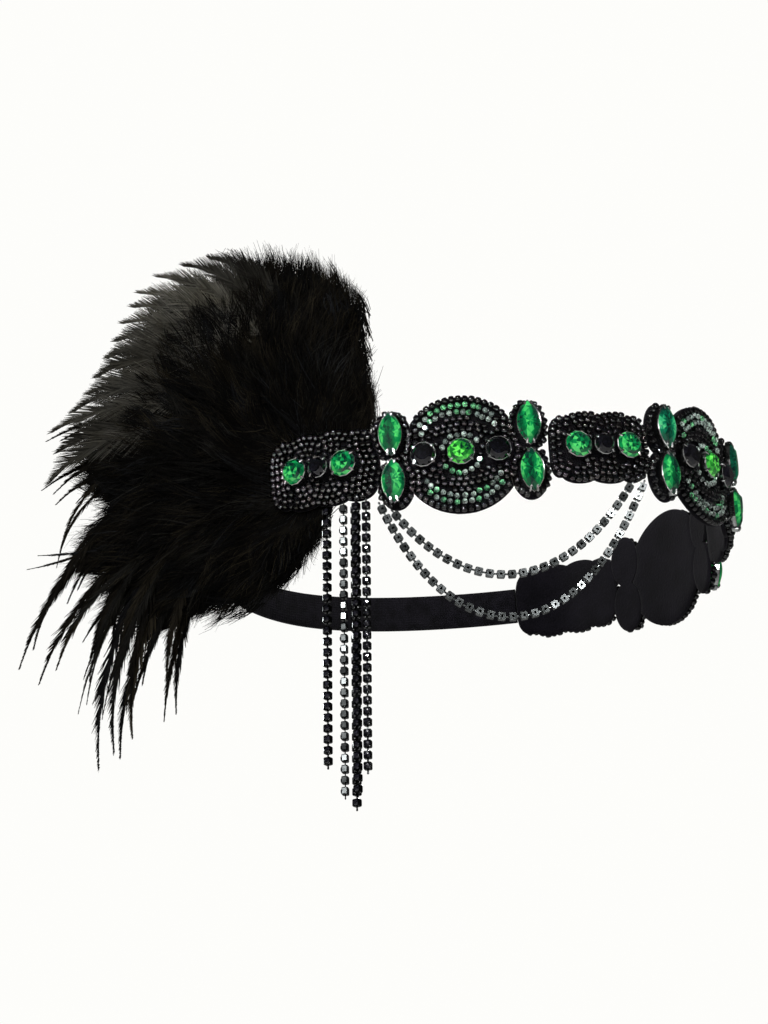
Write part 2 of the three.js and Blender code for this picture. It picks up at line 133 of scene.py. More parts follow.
def new_object(name: str, data: bpy.types.ID) -> bpy.types.Object:
    """Makes an object and links it to the scene.

    Args:
        name: The object's name.
        data: Its mesh, camera or light.

    Returns:
        The object.
    """
    obj = bpy.data.objects.new(name, data)
    bpy.context.scene.collection.objects.link(obj)
    return obj


# The ring of the band, as in the part's source


@dataclass
class HeadRing:
    """The closed curve that the felt follows round the head."""

    radius: float = 0.0815
    oval: float = 0.029
    egg: float = 0.024
    wave: float = 0.002
    brow_lift: float = math.radians(3.8)
    steps: int = 1440
    overlap: float = 1.2
    probe: float = 0.0004
    lengths: np.ndarray = field(init=False, repr=False)
    table: np.ndarray = field(init=False, repr=False)

    def __post_init__(self) -> None:
        """Works out the table of points and the length to each."""
        end = self.overlap * math.pi
        t = np.linspace(-end, end, 2 * self.steps + 1)
        r = self.radius * (1 + self.oval * np.cos(2 * t) + self.egg * np.cos(3 * t))
        self.table = np.stack([-r * np.sin(t), -r * np.cos(t), self.wave * np.cos(3 * t)], axis=1)
        steps = np.hypot(np.diff(self.table[:, 0]), np.diff(self.table[:, 1]))
        lengths = np.concatenate([[0.0], np.cumsum(steps)])
        self.lengths = lengths - lengths[self.steps]

    @property
    def girth(self) -> float:
        """The length once round the ring."""
        return 2 * float(self.lengths[self.steps + round(self.steps / self.overlap)])

    def point(self, s: np.ndarray) -> np.ndarray:
        """Returns points of the ring at lengths from the front, positive to the wearer's right."""
        return np.stack([np.interp(s, self.lengths, self.table[:, k]) for k in range(3)], axis=-1)

    def directions(self, s: np.ndarray) -> tuple[np.ndarray, np.ndarray]:
        """Works out the directions along the ring and out of it.

        Args:
            s: Lengths from the front.

        Returns:
            The unit vectors along the ring and out of it.
        """
        along = self.point(s + self.probe) - self.point(s - self.probe)
        along[..., 2] = 0
        along = unit(along)
        return along, np.cross(Z, along)

    def place(self, s: np.ndarray, height: np.ndarray, depth: np.ndarray) -> np.ndarray:
        """Returns points of the level band.

        Args:
            s: Lengths from the front.
            height: Heights above the ring.
            depth: Distances out from the felt's inner face.

        Returns:
            The points, before the brow is lifted.
        """
        s, height, depth = np.broadcast_arrays(*(np.asarray(v, float) for v in (s, height, depth)))
        _, out = self.directions(s)
        return self.point(s) + out * depth[..., None] + Z * height[..., None]

    def lifted(self, p: np.ndarray) -> np.ndarray:
        """Turns level points or directions into the worn frame, with the brow side up.

        Args:
            p: The points or directions.

        Returns:
            The same, lifted.
        """
        c, s = math.cos(-self.brow_lift), math.sin(-self.brow_lift)
        x, y, z = np.moveaxis(np.asarray(p, float), -1, 0)
        return np.stack([x, c * y - s * z, s * y + c * z], axis=-1)


RING = HeadRing()


# Meshes built from arrays


@dataclass
class MeshParts:
    """Collects points, faces, tints and material numbers for one object."""

    points: list[np.ndarray] = field(default_factory=list)
    faces: list[np.ndarray] = field(default_factory=list)
    tints: list[np.ndarray] = field(default_factory=list)
    slots: list[np.ndarray] = field(default_factory=list)
    count: int = 0

    def add(self, points: np.ndarray, faces: np.ndarray, tint: np.ndarray | float = 1.0, slot: int = 0) -> None:
        """Adds points with faces of one width.

        Args:
            points: The points.
            faces: Their faces.
            tint: One tint, or one for each point.
            slot: The faces' material number.
        """
        points = np.asarray(points, float).reshape(-1, 3)
        tint = np.asarray(tint, float)
        self.points.append(points)
        self.faces.append(np.asarray(faces, int) + self.count)
        self.tints.append(np.broadcast_to(tint, (len(points), 3)))
        self.slots.append(np.full(len(faces), slot))
        self.count += len(points)

    def cap_ends(self, ring: int) -> None:
        """Closes the first and the last ring of a loft.

        Args:
            ring: How many points each ring has.
        """
        first = np.arange(ring)
        self.faces.append(np.stack([first, (first + self.count - ring)[::-1]]))
        self.slots.append(np.zeros(2))

    def add_copies(
        self, points: np.ndarray, faces: np.ndarray, frames: np.ndarray, tints: np.ndarray, slot: int = 0
    ) -> None:
        """Adds one small shape many times.

        Args:
            points: The shape's points.
            faces: Its faces, all of one width.
            frames: A 3 by 4 matrix for each copy.
            tints: A colour for each copy, or one for each copy and point.
            slot: The material number.
        """
        if not len(frames):
            return
        moved = np.einsum("nij,pj->npi", frames[:, :, :3], points) + frames[:, None, :, 3]
        offsets = np.arange(len(frames))[:, None, None] * len(points)
        tints = np.asarray(tints, float)
        if tints.ndim == 2:
            tints = np.repeat(tints[:, None, :], len(points), axis=1)
        self.add(moved.reshape(-1, 3), (faces[None] + offsets).reshape(-1, faces.shape[1]),
                 tints.reshape(-1, 3), slot)

    def build(self, name: str, materials: Sequence[bpy.types.Material], flat: bool = False) -> bpy.types.Object:
        """Makes the object.

        Args:
            name: The piece's name.
            materials: Its materials in slot order.
            flat: Whether facets keep flat shading.

        Returns:
            The new object, linked to the scene.
        """
        mesh = bpy.data.meshes.new(name)
        points = np.concatenate(self.points)
        mesh.vertices.add(len(points))
        mesh.vertices.foreach_set("co", points.ravel().astype(np.float32))
        loops = np.concatenate([f.ravel() for f in self.faces])
        sizes = np.concatenate([np.full(len(f), f.shape[1]) for f in self.faces])
        mesh.loops.add(len(loops))
        mesh.loops.foreach_set("vertex_index", loops.astype(np.int32))
        mesh.polygons.add(len(sizes))
        mesh.polygons.foreach_set("loop_start", (np.cumsum(sizes) - sizes).astype(np.int32))
        mesh.polygons.foreach_set("material_index", np.concatenate(self.slots).astype(np.int32))
        mesh.polygons.foreach_set("use_smooth", np.full(len(sizes), not flat))
        mesh.update(calc_edges=True)
        tint = mesh.color_attributes.new("tint", "FLOAT_COLOR", "POINT")
        colours = np.concatenate([np.concatenate(self.tints), np.ones((len(points), 1))], axis=1)
        tint.data.foreach_set("color", colours.ravel().astype(np.float32))
        for material in materials:
            mesh.materials.append(material)
        return new_object(name, mesh)


def settle(obj: bpy.types.Object, nodes: Sequence[str] = ()) -> bpy.types.Object:
    """Makes a piece ride on the band and hides the nodes that it stands for.

    Args:
        obj: The piece.
        nodes: The nodes that it stands for.

    Returns:
        The piece.
    """
    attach(obj, BODY)
    if nodes:
        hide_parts(*nodes)
    obj.data.calc_loop_triangles()
    LOG.info("%s: %d triangles", obj.name, len(obj.data.loop_triangles))
    return obj


def turned_shape(
    profile: np.ndarray, sides: int, closed: bool
) -> tuple[np.ndarray, np.ndarray]:
    """Turns a profile of (x, radius) rows about the X axis.

    Args:
        profile: The rows from one end to the other.
        sides: How many sides the shape has.
        closed: Whether the last row joins the first, as in a bead with a hole.

    Returns:
        The points and the four-sided faces.
    """
    a = round_steps(sides)
    x, r = np.broadcast_to(profile[:, :1], (len(profile), sides)), profile[:, 1:2]
    points = np.stack([x, r * np.cos(a), r * np.sin(a)], axis=-1)
    return points.reshape(-1, 3), grid_faces(len(profile), sides, wrap_rows=closed)


def frames_from(x: np.ndarray, y: np.ndarray, z: np.ndarray, at: np.ndarray) -> np.ndarray:
    """Returns 3 by 4 matrices from axes and origins."""
    return np.stack([x, y, z, at], axis=-1)


# Shader helpers


def new_material(name: str) -> tuple[bpy.types.Material, bpy.types.Node]:
    """Makes a material with one Principled shader.

    Args:
        name: The material's name.

    Returns:
        The material and its shader.
    """
    material = bpy.data.materials.new(name)
    material.use_nodes = True
    return material, material.node_tree.nodes["Principled BSDF"]


def feed(node: bpy.types.Node, inputs: dict[str | int, object]) -> None:
    """Sets a node's inputs.

    Args:
        node: The node.
        inputs: Values, or sockets to link, by the inputs' names or numbers.
    """
    for key, value in inputs.items():
        if isinstance(value, bpy.types.NodeSocket):
            node.id_data.links.new(value, node.inputs[key])
        else:
            node.inputs[key].default_value = value


def add_node(
    tree: bpy.types.NodeTree, kind: str, inputs: dict[str | int, object] | None = None,
    **settings: object
) -> bpy.types.Node:
    """Adds a node to a tree.

    Args:
        tree: The node tree.
        kind: The node's type, without the ShaderNode that it starts with.
        inputs: Values, or sockets to link, by the inputs' names or numbers.
        settings: The node's own settings.

    Returns:
        The node.
    """
    node = tree.nodes.new("ShaderNode" + kind)
    for key, value in settings.items():
        setattr(node, key, value)
    feed(node, inputs or {})
    return node


def object_noise(
    tree: bpy.types.NodeTree, scale: bpy.types.NodeSocket, detail: float
) -> bpy.types.NodeSocket:
    """Adds a noise over the object's own coordinates and returns its value."""
    place = add_node(tree, "TexCoord").outputs["Object"]
    return add_node(tree, "TexNoise", {"Vector": place, "Scale": scale, "Detail": detail}).outputs["Fac"]


def open_group(name: str, inputs: dict[str, tuple[str, object]], outputs: dict[str, str]) -> tuple:
    """Starts a shader node group.

    Args:
        name: The group's name.
        inputs: For each input, its socket type and its value.
        outputs: For each output, its socket type.

    Returns:
        The group, its input node and its output node.
    """
    group = bpy.data.node_groups.new(name, "ShaderNodeTree")
    for key, (kind, value) in inputs.items():
        socket = group.interface.new_socket(key, in_out="INPUT", socket_type=kind)
        socket.default_value = value
    for key, kind in outputs.items():
        group.interface.new_socket(key, in_out="OUTPUT", socket_type=kind)
    return group, group.nodes.new("NodeGroupInput"), group.nodes.new("NodeGroupOutput")


FLOAT, COLOUR = "NodeSocketFloat", "NodeSocketColor"


def drift_group() -> bpy.types.NodeTree:
    """Makes the group that lets a colour drift between two shades over the surface.

    Returns:
        The group.
    """
    group, start, end = open_group(
        "colour_drift",
        {"Shade": (COLOUR, (0, 0, 0, 1)), "Other Shade": (COLOUR, (1, 1, 1, 1)),
         "Scale": (FLOAT, 100.0), "Low": (FLOAT, 0.35), "High": (FLOAT, 0.65)},
        {"Color": COLOUR},
    )
    given = start.outputs
    noise = object_noise(group, given["Scale"], 4.0)
    spread = add_node(group, "MapRange", {"Value": noise, "From Min": given["Low"], "From Max": given["High"]})
    shades = {"Factor": spread.outputs["Result"], "A": given["Shade"], "B": given["Other Shade"]}
    mix = add_node(group, "Mix", shades, data_type="RGBA")
    feed(end, {"Color": mix.outputs["Result"]})
    return group


def grain_group() -> bpy.types.NodeTree:
    """Makes the group that gives a fine grain as a height and a roughness.

    Returns:
        The group.
    """
    group, start, end = open_group(
        "fine_grain",
        {"Scale": (FLOAT, 2000.0), "Roughness": (FLOAT, 0.5), "Spread": (FLOAT, 0.1)},
        {"Height": FLOAT, "Roughness": FLOAT},
    )
    given = start.outputs
    noise = object_noise(group, given["Scale"], 3.0)
    centred = add_node(group, "Math", {0: noise, 1: 0.5}, operation="SUBTRACT").outputs[0]
    terms = {0: centred, 1: given["Spread"], 2: given["Roughness"]}
    rough = add_node(group, "Math", terms, operation="MULTIPLY_ADD").outputs[0]
    feed(end, {"Height": noise, "Roughness": rough})
    return group


def tinted_group() -> bpy.types.NodeTree:
    """Makes the group that multiplies a colour by the piece's own tints.

    Returns:
        The group.
    """
    group, start, end = open_group("piece_tint", {"Color": (COLOUR, (1, 1, 1, 1))}, {"Color": COLOUR})
    tint = add_node(group, "VertexColor", layer_name="tint").outputs["Color"]
    colours = {"Factor": 1.0, "A": start.outputs["Color"], "B": tint}
    mix = add_node(group, "Mix", colours, data_type="RGBA", blend_type="MULTIPLY")
    feed(end, {"Color": mix.outputs["Result"]})
    return group


DRIFT = drift_group()
GRAIN = grain_group()
TINTED = tinted_group()


# Finishes


@dataclass(frozen=True)
class Finish:
    """A finish with a drifting tinted colour, a grain, the gloss of its surface and, where given, a painted
    glow.
    """

    name: str
    shade: tuple[float, float, float]
    other_shade: tuple[float, float, float]
    drift_scale: float = 150.0
    roughness: float = 0.5
    roughness_spread: float = 0.1
    grain_scale: float = 2500.0
    grain_depth: float = 0.0
    metallic: float = 0.0
    coat: float = 0.0
    coat_roughness: float = 0.03
    sheen: float = 0.0
    specular: float = 0.5
    painted_glow: float = 0.0

    def material(self) -> bpy.types.Material:
        """Makes the finish's material.

        Returns:
            The material.
        """
        material, shader = new_material(self.name)
        tree = material.node_tree
        shades = {"Shade": (*self.shade, 1), "Other Shade": (*self.other_shade, 1), "Scale": self.drift_scale}
        drift = add_node(tree, "Group", node_tree=DRIFT)
        feed(drift, shades)
        tinted = add_node(tree, "Group", node_tree=TINTED)
        feed(tinted, {"Color": drift.outputs["Color"]})
        grain = add_node(tree, "Group", node_tree=GRAIN)
        feed(grain, {"Scale": self.grain_scale, "Roughness": self.roughness, "Spread": self.roughness_spread})
        feed(shader, {
            "Base Color": tinted.outputs["Color"], "Roughness": grain.outputs["Roughness"],
            "Metallic": self.metallic, "Coat Weight": self.coat, "Coat Roughness": self.coat_roughness,
            "Specular IOR Level": self.specular, "Sheen Weight": self.sheen,
        })
        if self.grain_depth:
            bump = add_node(tree, "Bump", {"Distance": self.grain_depth, "Height": grain.outputs["Height"]})
            feed(shader, {"Normal": bump.outputs["Normal"]})
        # Painted light: the surface glows in its own tinted colour though it is no lamp
        if self.painted_glow:
            feed(shader, {"Emission Color": tinted.outputs["Color"], "Emission Strength": self.painted_glow})
        return material


FELT = Finish("black_felt", (0.0035, 0.0031, 0.0048), (0.007, 0.006, 0.0095), drift_scale=90.0, roughness=1.0,
              grain_scale=1600.0, grain_depth=0.0003, sheen=0.04, specular=0.08).material()
SEED_BEAD = Finish("black_seed_beads", (0.0012, 0.0012, 0.0018), (0.003, 0.0027, 0.0036), roughness=0.09,
                   roughness_spread=0.04, coat=0.7, coat_roughness=0.02, specular=0.08).material()
# The crystals glow a little in their own colour, as painted light
CRYSTAL = Finish("smoky_crystal", (0.85, 0.9, 0.86), (1.0, 1.0, 1.0), roughness=0.12, roughness_spread=0.04,
                 coat=1.0, specular=0.8, painted_glow=0.2).material()
# The green glass glows a little in its own colour, as painted light, as if lit from its foil
GREEN_GLASS = Finish("green_foiled_glass", (0.9, 0.9, 0.9), (1.0, 1.0, 1.0), drift_scale=400.0, roughness=0.06,
                     roughness_spread=0.03, coat=0.8, coat_roughness=0.01, specular=0.3, painted_glow=0.2).material()
BLACK_GLASS = Finish("jet_glass", (0.003, 0.003, 0.0045), (0.008, 0.0075, 0.011), roughness=0.06,
                     roughness_spread=0.03, coat=0.8, coat_roughness=0.01, specular=0.2).material()
CLAW_METAL = Finish("dark_silver_claws", (0.26, 0.27, 0.27), (0.5, 0.51, 0.5), drift_scale=500.0, roughness=0.2,
                    roughness_spread=0.12, metallic=1.0).material()
GUNMETAL = Finish("gunmetal_cups", (0.06, 0.065, 0.065), (0.14, 0.15, 0.15), drift_scale=400.0, roughness=0.2,
                  roughness_spread=0.15, metallic=1.0).material()
FEATHER = Finish("black_feather", (0.8, 0.75, 0.62), (1.2, 1.15, 1.05), drift_scale=110.0, roughness=0.75,
                 roughness_spread=0.15, specular=0.02).material()


@dataclass(frozen=True)
class RibbedElastic:
    """The webbing's finish: fine lengthwise cords crossed by a tight weft."""

    name: str = "ribbed_black_elastic"
    cords: float = 14.0
    weft: float = 1100.0
    rib_depth: float = 0.00012
    shade: tuple[float, float, float] = (0.003, 0.0027, 0.0042)
    other_shade: tuple[float, float, float] = (0.008, 0.007, 0.011)

    def material(self) -> bpy.types.Material:
        """Makes the material from the strap's own UV map, across in shares and along in metres.

        Returns:
            The material.
        """
        material, shader = new_material(self.name)
        tree = material.node_tree
        split = add_node(tree, "SeparateXYZ", {0: add_node(tree, "TexCoord").outputs["UV"]})
        waves = []
        for axis, scale in (("X", self.cords), ("Y", self.weft)):
            wave = add_node(tree, "Math", {0: split.outputs[axis], 1: scale * math.pi}, operation="MULTIPLY")
            for operation in ("SINE", "ABSOLUTE"):
                wave = add_node(tree, "Math", {0: wave.outputs[0]}, operation=operation)
            waves.append(wave.outputs[0])
        height = add_node(tree, "Math", dict(enumerate(waves)), operation="ADD").outputs[0]
        bump = add_node(tree, "Bump", {"Distance": self.rib_depth, "Height": height})
        drift = add_node(tree, "Group", node_tree=DRIFT)
        feed(drift, {"Shade": (*self.shade, 1), "Other Shade": (*self.other_shade, 1), "Scale": 260.0})
        grain = add_node(tree, "Group", node_tree=GRAIN)
        feed(grain, {"Scale": 3000.0, "Roughness": 0.8, "Spread": 0.2})
        feed(shader, {
            "Base Color": drift.outputs["Color"], "Roughness": grain.outputs["Roughness"],
            "Normal": bump.outputs["Normal"], "Sheen Weight": 0.03, "Specular IOR Level": 0.12,
        })
        return material


# The felt units


@dataclass(frozen=True)
class UnitSizes:
    """Sizes that the units share with the part's source."""

    felt: float = 0.0012
    bed: float = 0.0016
    seat_gap: float = 0.0003
    join_gap: float = 0.0006
    medallion_radius: float = 0.0193
    scallop_width: float = 0.0334
    scallop_height: float = 0.0236
    end_width: float = 0.0382
    end_height: float = 0.0246
    boxiness: float = 4.5
    lobe_pitch: float = 0.0104
    lobe_depth: float = 0.0014
    lobe_shift: float = 0.0026
    lobe_half_width: float = 0.0059
    lobe_half_height: float = 0.0086
    lobe_offset: float = 0.0078
    medallion_tuck: float = 0.00425
    end_tuck: float = 0.0012
    scallop_space: float = 0.00045
    round_radius: float = 0.0044
    black_radius: float = 0.0035
    wide_black_radius: float = 0.0041
    round_pitch: float = 0.0083
    wide_black_pitch: float = 0.0113
    navette_half_length: float = 0.0075
    navette_half_width: float = 0.0039
    setting_height: float = 0.0016
    stone_height: float = 0.0019
    table_share: float = 0.55

    @property
    def medallion_step(self) -> float:
        """From a medallion's middle to the next navette pair's."""
        return self.medallion_radius + self.lobe_half_width - self.medallion_tuck

    @property
    def scallop_step(self) -> float:
        """From a scalloped panel's middle to the next navette pair's."""
        return self.scallop_width / 2 + self.lobe_half_width + self.scallop_space

    @property
    def end_step(self) -> float:
        """From the last navette pair's middle to the end panel's."""
        return self.end_width / 2 + self.lobe_half_width - self.end_tuck

    @property
    def stone_base(self) -> float:
        """How far out from the felt's inner face the stones' settings stand."""
        return self.felt + self.bed + self.seat_gap

    def panel(self, kind: UnitKind) -> tuple[float, float]:
        """Returns the width and height of a scalloped panel or an end panel."""
        ends = (self.end_width, self.end_height)
        return ends if kind is UnitKind.END else (self.scallop_width, self.scallop_height)


SIZES = UnitSizes()
SCALLOP_AT = SIZES.medallion_step + SIZES.scallop_step
PAIR_TWO_AT = SCALLOP_AT + SIZES.scallop_step
MEDALLION_AT = PAIR_TWO_AT + SIZES.medallion_step
PAIR_ONE_AT = MEDALLION_AT + SIZES.medallion_step
END_AT = PAIR_ONE_AT + SIZES.end_step
SIDE_PAIRS = (PAIR_ONE_AT, PAIR_TWO_AT, SIZES.medallion_step)
PAIR_PLACES = tuple(side * at for side in (1, -1) for at in SIDE_PAIRS)


def in_pair(u: np.ndarray, v: np.ndarray, grown: float) -> np.ndarray:
    """Tells which points lie in a navette pair's two lobes.

    Args:
        u: Places along the pair.
        v: Places up the pair.
        grown: How far the lobes are grown.

    Returns:
        True where the lobes are.
    """
    across = u / (SIZES.lobe_half_width + grown)
    height = SIZES.lobe_half_height + grown
    upper = np.hypot(across, (v - SIZES.lobe_offset) / height) < 1
    return upper | (np.hypot(across, (v + SIZES.lobe_offset) / height) < 1)


def in_scalloped(width: float, height: float, u: np.ndarray, v: np.ndarray) -> np.ndarray:
    """Tells which points lie in a rounded panel with scalloped long edges.

    Args:
        width: The panel's width.
        height: Its height.
        u: Places along the panel.
        v: Places up the panel.

    Returns:
        True where the panel is.
    """
    across = np.minimum(np.abs(2 * u / width), 1.0)
    rounded = (height / 2) * (1 - across**SIZES.boxiness) ** (1 / SIZES.boxiness)
    cusp = np.where(v > 0, 0.0, SIZES.lobe_shift)
    lobe = np.abs(np.sin(math.pi * (u - cusp) / SIZES.lobe_pitch))
    return (across < 1) & (np.abs(v) < rounded - SIZES.lobe_depth * (1 - np.sqrt(lobe)))


@dataclass
class Stone:
    """One stone's place on its unit."""

    node: str
    u: float
    v: float
    radius: float
    green: bool
    navette: bool = False

    def covers(self, u: np.ndarray, v: np.ndarray, margin: float) -> np.ndarray:
        """Tells which points lie under the stone or near it.

        Args:
            u: Places along the unit.
            v: Places up the unit.
            margin: How near counts as under it.

        Returns:
            True where the stone covers the point.
        """
        du, dv = u - self.u, v - self.v
        if not self.navette:
            return np.hypot(du, dv) < self.radius + margin
        long, wide = SIZES.navette_half_length + margin, SIZES.navette_half_width + margin
        arc = (long**2 + wide**2) / (2 * wide)
        return np.hypot(np.abs(du) + arc - wide, dv) < arc


@dataclass(frozen=True)
class MedallionRows:
    """The rows of small crystals and seed beads inside a medallion's rim."""

    pitch: float = 0.0021
    arc_radii: tuple[float, ...] = (0.01605, 0.0139)
    arc_half_angle: float = 68.0
    arc_room: float = 0.96
    ring_radius: float = 0.0063
    ring_room: float = 0.0019
    opening_at: float = 0.0056
    opening_height: float = 0.0025
    bead_ellipses: tuple[tuple[float, float], ...] = (
        (0.0172, 0.0118), (0.0161, 0.0099), (0.0150, 0.0081), (0.0172, 0.0172), (0.0172, 0.0145),
    )


@dataclass(frozen=True)
class CrystalLook:
    """The small crystals: their size, and for each colour its shade and its range."""

    radius: float = 0.001
    height: float = 0.0009
    wall: float = 0.0007
    tilt: float = 0.2
    near: float = 0.008
    green_near: float = 0.45
    green_far: float = 0.28
    not_clear: float = 0.62
    # The share of a crystal's colour painted on its facets that are shown as in shade
    darkest: float = 0.02
    green: tuple = ((0.2, 0.72, 0.36), 0.6, 1.3)
    smoky: tuple = ((0.4, 0.5, 0.46), 0.5, 1.4)
    clear: tuple = ((0.78, 0.95, 0.86), 0.6, 1.2)


MEDALLION_ROWS = MedallionRows()
CRYSTAL_LOOK = CrystalLook()

# The felt's section from its inner face round its soft edge: shares of its outline and depths
FELT_SIDES = 132
FELT_CROWN = SIZES.felt + 0.0001
FELT_SECTION = (
    (0.001, 0.0), (0.3, 0.0), (0.6, 0.0), (0.85, 0.0), (0.97, 0.0), (1.0, 0.0003), (1.0, 0.0009),
    (0.97, SIZES.felt), (0.8, FELT_CROWN), (0.5, FELT_CROWN), (0.2, FELT_CROWN), (0.001, FELT_CROWN),
)


@dataclass
class BeadedUnit:
    """A felt backing with its seed beads, small crystals and stones."""

    kind: UnitKind
    name: str
    at: float
    mirror: int = 1
    outline_steps: int = 720
    bead_pitch: float = 0.00202
    row_step: float = 0.00192
    rim_inset: float = 0.00105
    inset_slack: float = 0.00022
    inner_rows: int = 5
    shortest_row: int = 20
    bead_room: float = 0.9
    stone_room: float = 0.62
    filler_reach: float = 0.022
    filler_step: float = 0.0007
    filler_inset: float = 1.045
    filler_room: float = 0.49
    neighbour: float = 0.04
    probe_count: int = 520
    probe_step: float = 0.00005

    def inside(self, u: np.ndarray, v: np.ndarray, gap: float = SIZES.join_gap) -> np.ndarray:
        """Tells which points of the unit's flat coordinates it covers, beside its navette pairs.

        Args:
            u: Places along the unit.
            v: Places up the unit.
            gap: The space left beside the navette pairs.

        Returns:
            True where the unit is.
        """
        if self.kind is UnitKind.PAIR:
            return in_pair(u, v, 0.0)
        if self.kind is UnitKind.MEDALLION:
            own = np.hypot(u, v) < SIZES.medallion_radius
        else:
            own = in_scalloped(*SIZES.panel(self.kind), self.mirror * u, v)
        for place in PAIR_PLACES:
            if abs(place - self.at) < self.neighbour:
                own = own & ~in_pair(self.at + u - place, v, gap)
        return own

    def outline(self, count: int, gap: float = SIZES.join_gap) -> np.ndarray:
        """Returns points round the unit's edge in its flat coordinates.

        Args:
            count: How many points.
            gap: The space left beside the navette pairs.

        Returns:
            The points, in order.
        """
        a = round_steps(count, 0.5)
        reach = np.arange(1, self.probe_count) * self.probe_step
        hit = self.inside(reach[None] * np.cos(a)[:, None], reach[None] * np.sin(a)[:, None], gap)
        first_out = np.where(hit.all(axis=1), hit.shape[1] - 1, np.argmin(hit, axis=1))
        r = reach[first_out]
        return np.stack([r * np.cos(a), r * np.sin(a)], axis=1)

    def stones(self) -> list[Stone]:
        """Lists the unit's stones.

        Returns:
            The stones, with the names of their nodes.
        """
        s = SIZES
        if self.kind is UnitKind.PAIR:
            return [
                Stone(f"green_navette_{self.name}_{place}", 0.0, side * s.lobe_offset, 0.0, True, True)
                for place, side in (("upper", 1), ("lower", -1))
            ]
        if self.kind is UnitKind.MEDALLION:
            return [
                Stone(f"green_stone_{self.name}", 0.0, 0.0, s.round_radius, True),
                Stone(f"black_stone_{self.name}_a", s.wide_black_pitch, 0.0, s.wide_black_radius, False),
                Stone(f"black_stone_{self.name}_b", -s.wide_black_pitch, 0.0, s.wide_black_radius, False),
            ]
        return [
            Stone(f"black_stone_{self.name}", 0.0, 0.0, s.black_radius, False),
            Stone(f"green_stone_{self.name}_a", s.round_pitch, 0.0, s.round_radius, True),
            Stone(f"green_stone_{self.name}_b", -s.round_pitch, 0.0, s.round_radius, True),
        ]

    def felt(self, material: bpy.types.Material) -> bpy.types.Object:
        """Makes the felt backing with its softly rounded edge.

        Args:
            material: The felt.

        Returns:
            The backing, which stands for the unit's node.
        """
        rim = self.outline(FELT_SIDES, 0.0)
        u, v = rim[:, 0], rim[:, 1]
        rings = [RING.place(self.at + u * share, v * share, depth) for share, depth in FELT_SECTION]
        parts = MeshParts()
        parts.add(RING.lifted(np.concatenate(rings)), grid_faces(len(rings), FELT_SIDES)[:, ::-1])
        parts.cap_ends(FELT_SIDES)
        obj = parts.build(f"felt_{self.name}", [material])
        settle(obj, [self.name])
        return obj

    def contour(self, inset: float) -> np.ndarray:
        """Works out a row that follows the unit's edge.

        Args:
            inset: How far inside the edge the row lies.

        Returns:
            The row's points, in order round the unit.
        """
        rim = self.outline(self.outline_steps)
        tangent = np.roll(rim, -4, axis=0) - np.roll(rim, 4, axis=0)
        normal = unit(np.stack([-tangent[:, 1], tangent[:, 0]], axis=1))
        moved = rim + normal * inset
        apart = moved[:, None] - rim[None]
        gaps = np.hypot(apart[..., 0], apart[..., 1]).min(axis=1)
        return moved[(gaps > inset - self.inset_slack) & self.inside(moved[:, 0], moved[:, 1])]

    def ellipse(self, half_width: float, half_height: float, start: float = 0.0) -> np.ndarray:
        """Returns points round an ellipse about the unit's middle."""
        a = np.linspace(0, 2 * math.pi, 720, endpoint=False) + start
        return np.stack([half_width * np.cos(a), half_height * np.sin(a)], axis=1)

    def strung(self, path: np.ndarray, pitch: float, taken: list, gap: float) -> list:
        """Strings pieces along a path wherever they find room.

        Args:
            path: Points of the row.
            pitch: Distance from one piece to the next.
            taken: Places that are used already, as (u, v, clearance); new ones are added.
            gap: The clearance of the new pieces.

        Returns:
            Rows of u, v and the row's direction for each new piece.
        """
        found = []
        last = None
        for k, (u, v) in enumerate(path):
            if last is not None and math.hypot(u - last[0], v - last[1]) < pitch:
                continue
            if any(s.covers(u, v, gap * self.stone_room) for s in self.stones()):
                continue
            if taken:
                spots = np.array(taken)
                if (np.hypot(spots[:, 0] - u, spots[:, 1] - v) < (spots[:, 2] + gap) * 0.5).any():
                    continue
            after = path[(k + 1) % len(path)]
            found.append((u, v, math.atan2(after[1] - v, after[0] - u)))
            taken.append((u, v, gap))
            last = (u, v)
        return found

    def layout(self) -> tuple[np.ndarray, np.ndarray]:
        """Works out where the seed beads and the small crystals lie.

        Returns:
            The beads and the crystals as rows of u, v and direction.
        """
        taken: list = []
        bead_gap = self.bead_room * self.bead_pitch
        crystals: list = []
        beads = self.strung(self.contour(self.rim_inset), self.bead_pitch, taken, bead_gap)
        if self.kind is UnitKind.MEDALLION:
            rows = MEDALLION_ROWS
            for radius in rows.arc_radii:
                row = self.ellipse(radius, radius, math.radians(-90))
                off_upright = np.abs(np.abs(np.degrees(np.arctan2(row[:, 1], row[:, 0]))) - 90)
                arc = row[off_upright < rows.arc_half_angle]
                crystals += self.strung(arc, rows.pitch, taken, rows.pitch * rows.arc_room)
            ring = self.ellipse(rows.ring_radius, rows.ring_radius)
            open_part = (np.abs(ring[:, 0]) < rows.opening_at) | (np.abs(ring[:, 1]) > rows.opening_height)
            crystals += self.strung(ring[open_part], rows.pitch, taken, rows.ring_room)
            for half_width, half_height in rows.bead_ellipses:
                ellipse = self.ellipse(half_width, half_height)
                beads += self.strung(ellipse, self.bead_pitch, taken, bead_gap)
        else:
            for k in range(1, self.inner_rows + 1):
                row = self.contour(self.rim_inset + k * self.row_step)
                if len(row) > self.shortest_row:
                    beads += self.strung(row, self.bead_pitch, taken, bead_gap)
        beads += self.fillers(taken, bead_gap)
        return np.array(beads), np.array(crystals).reshape(-1, 3)

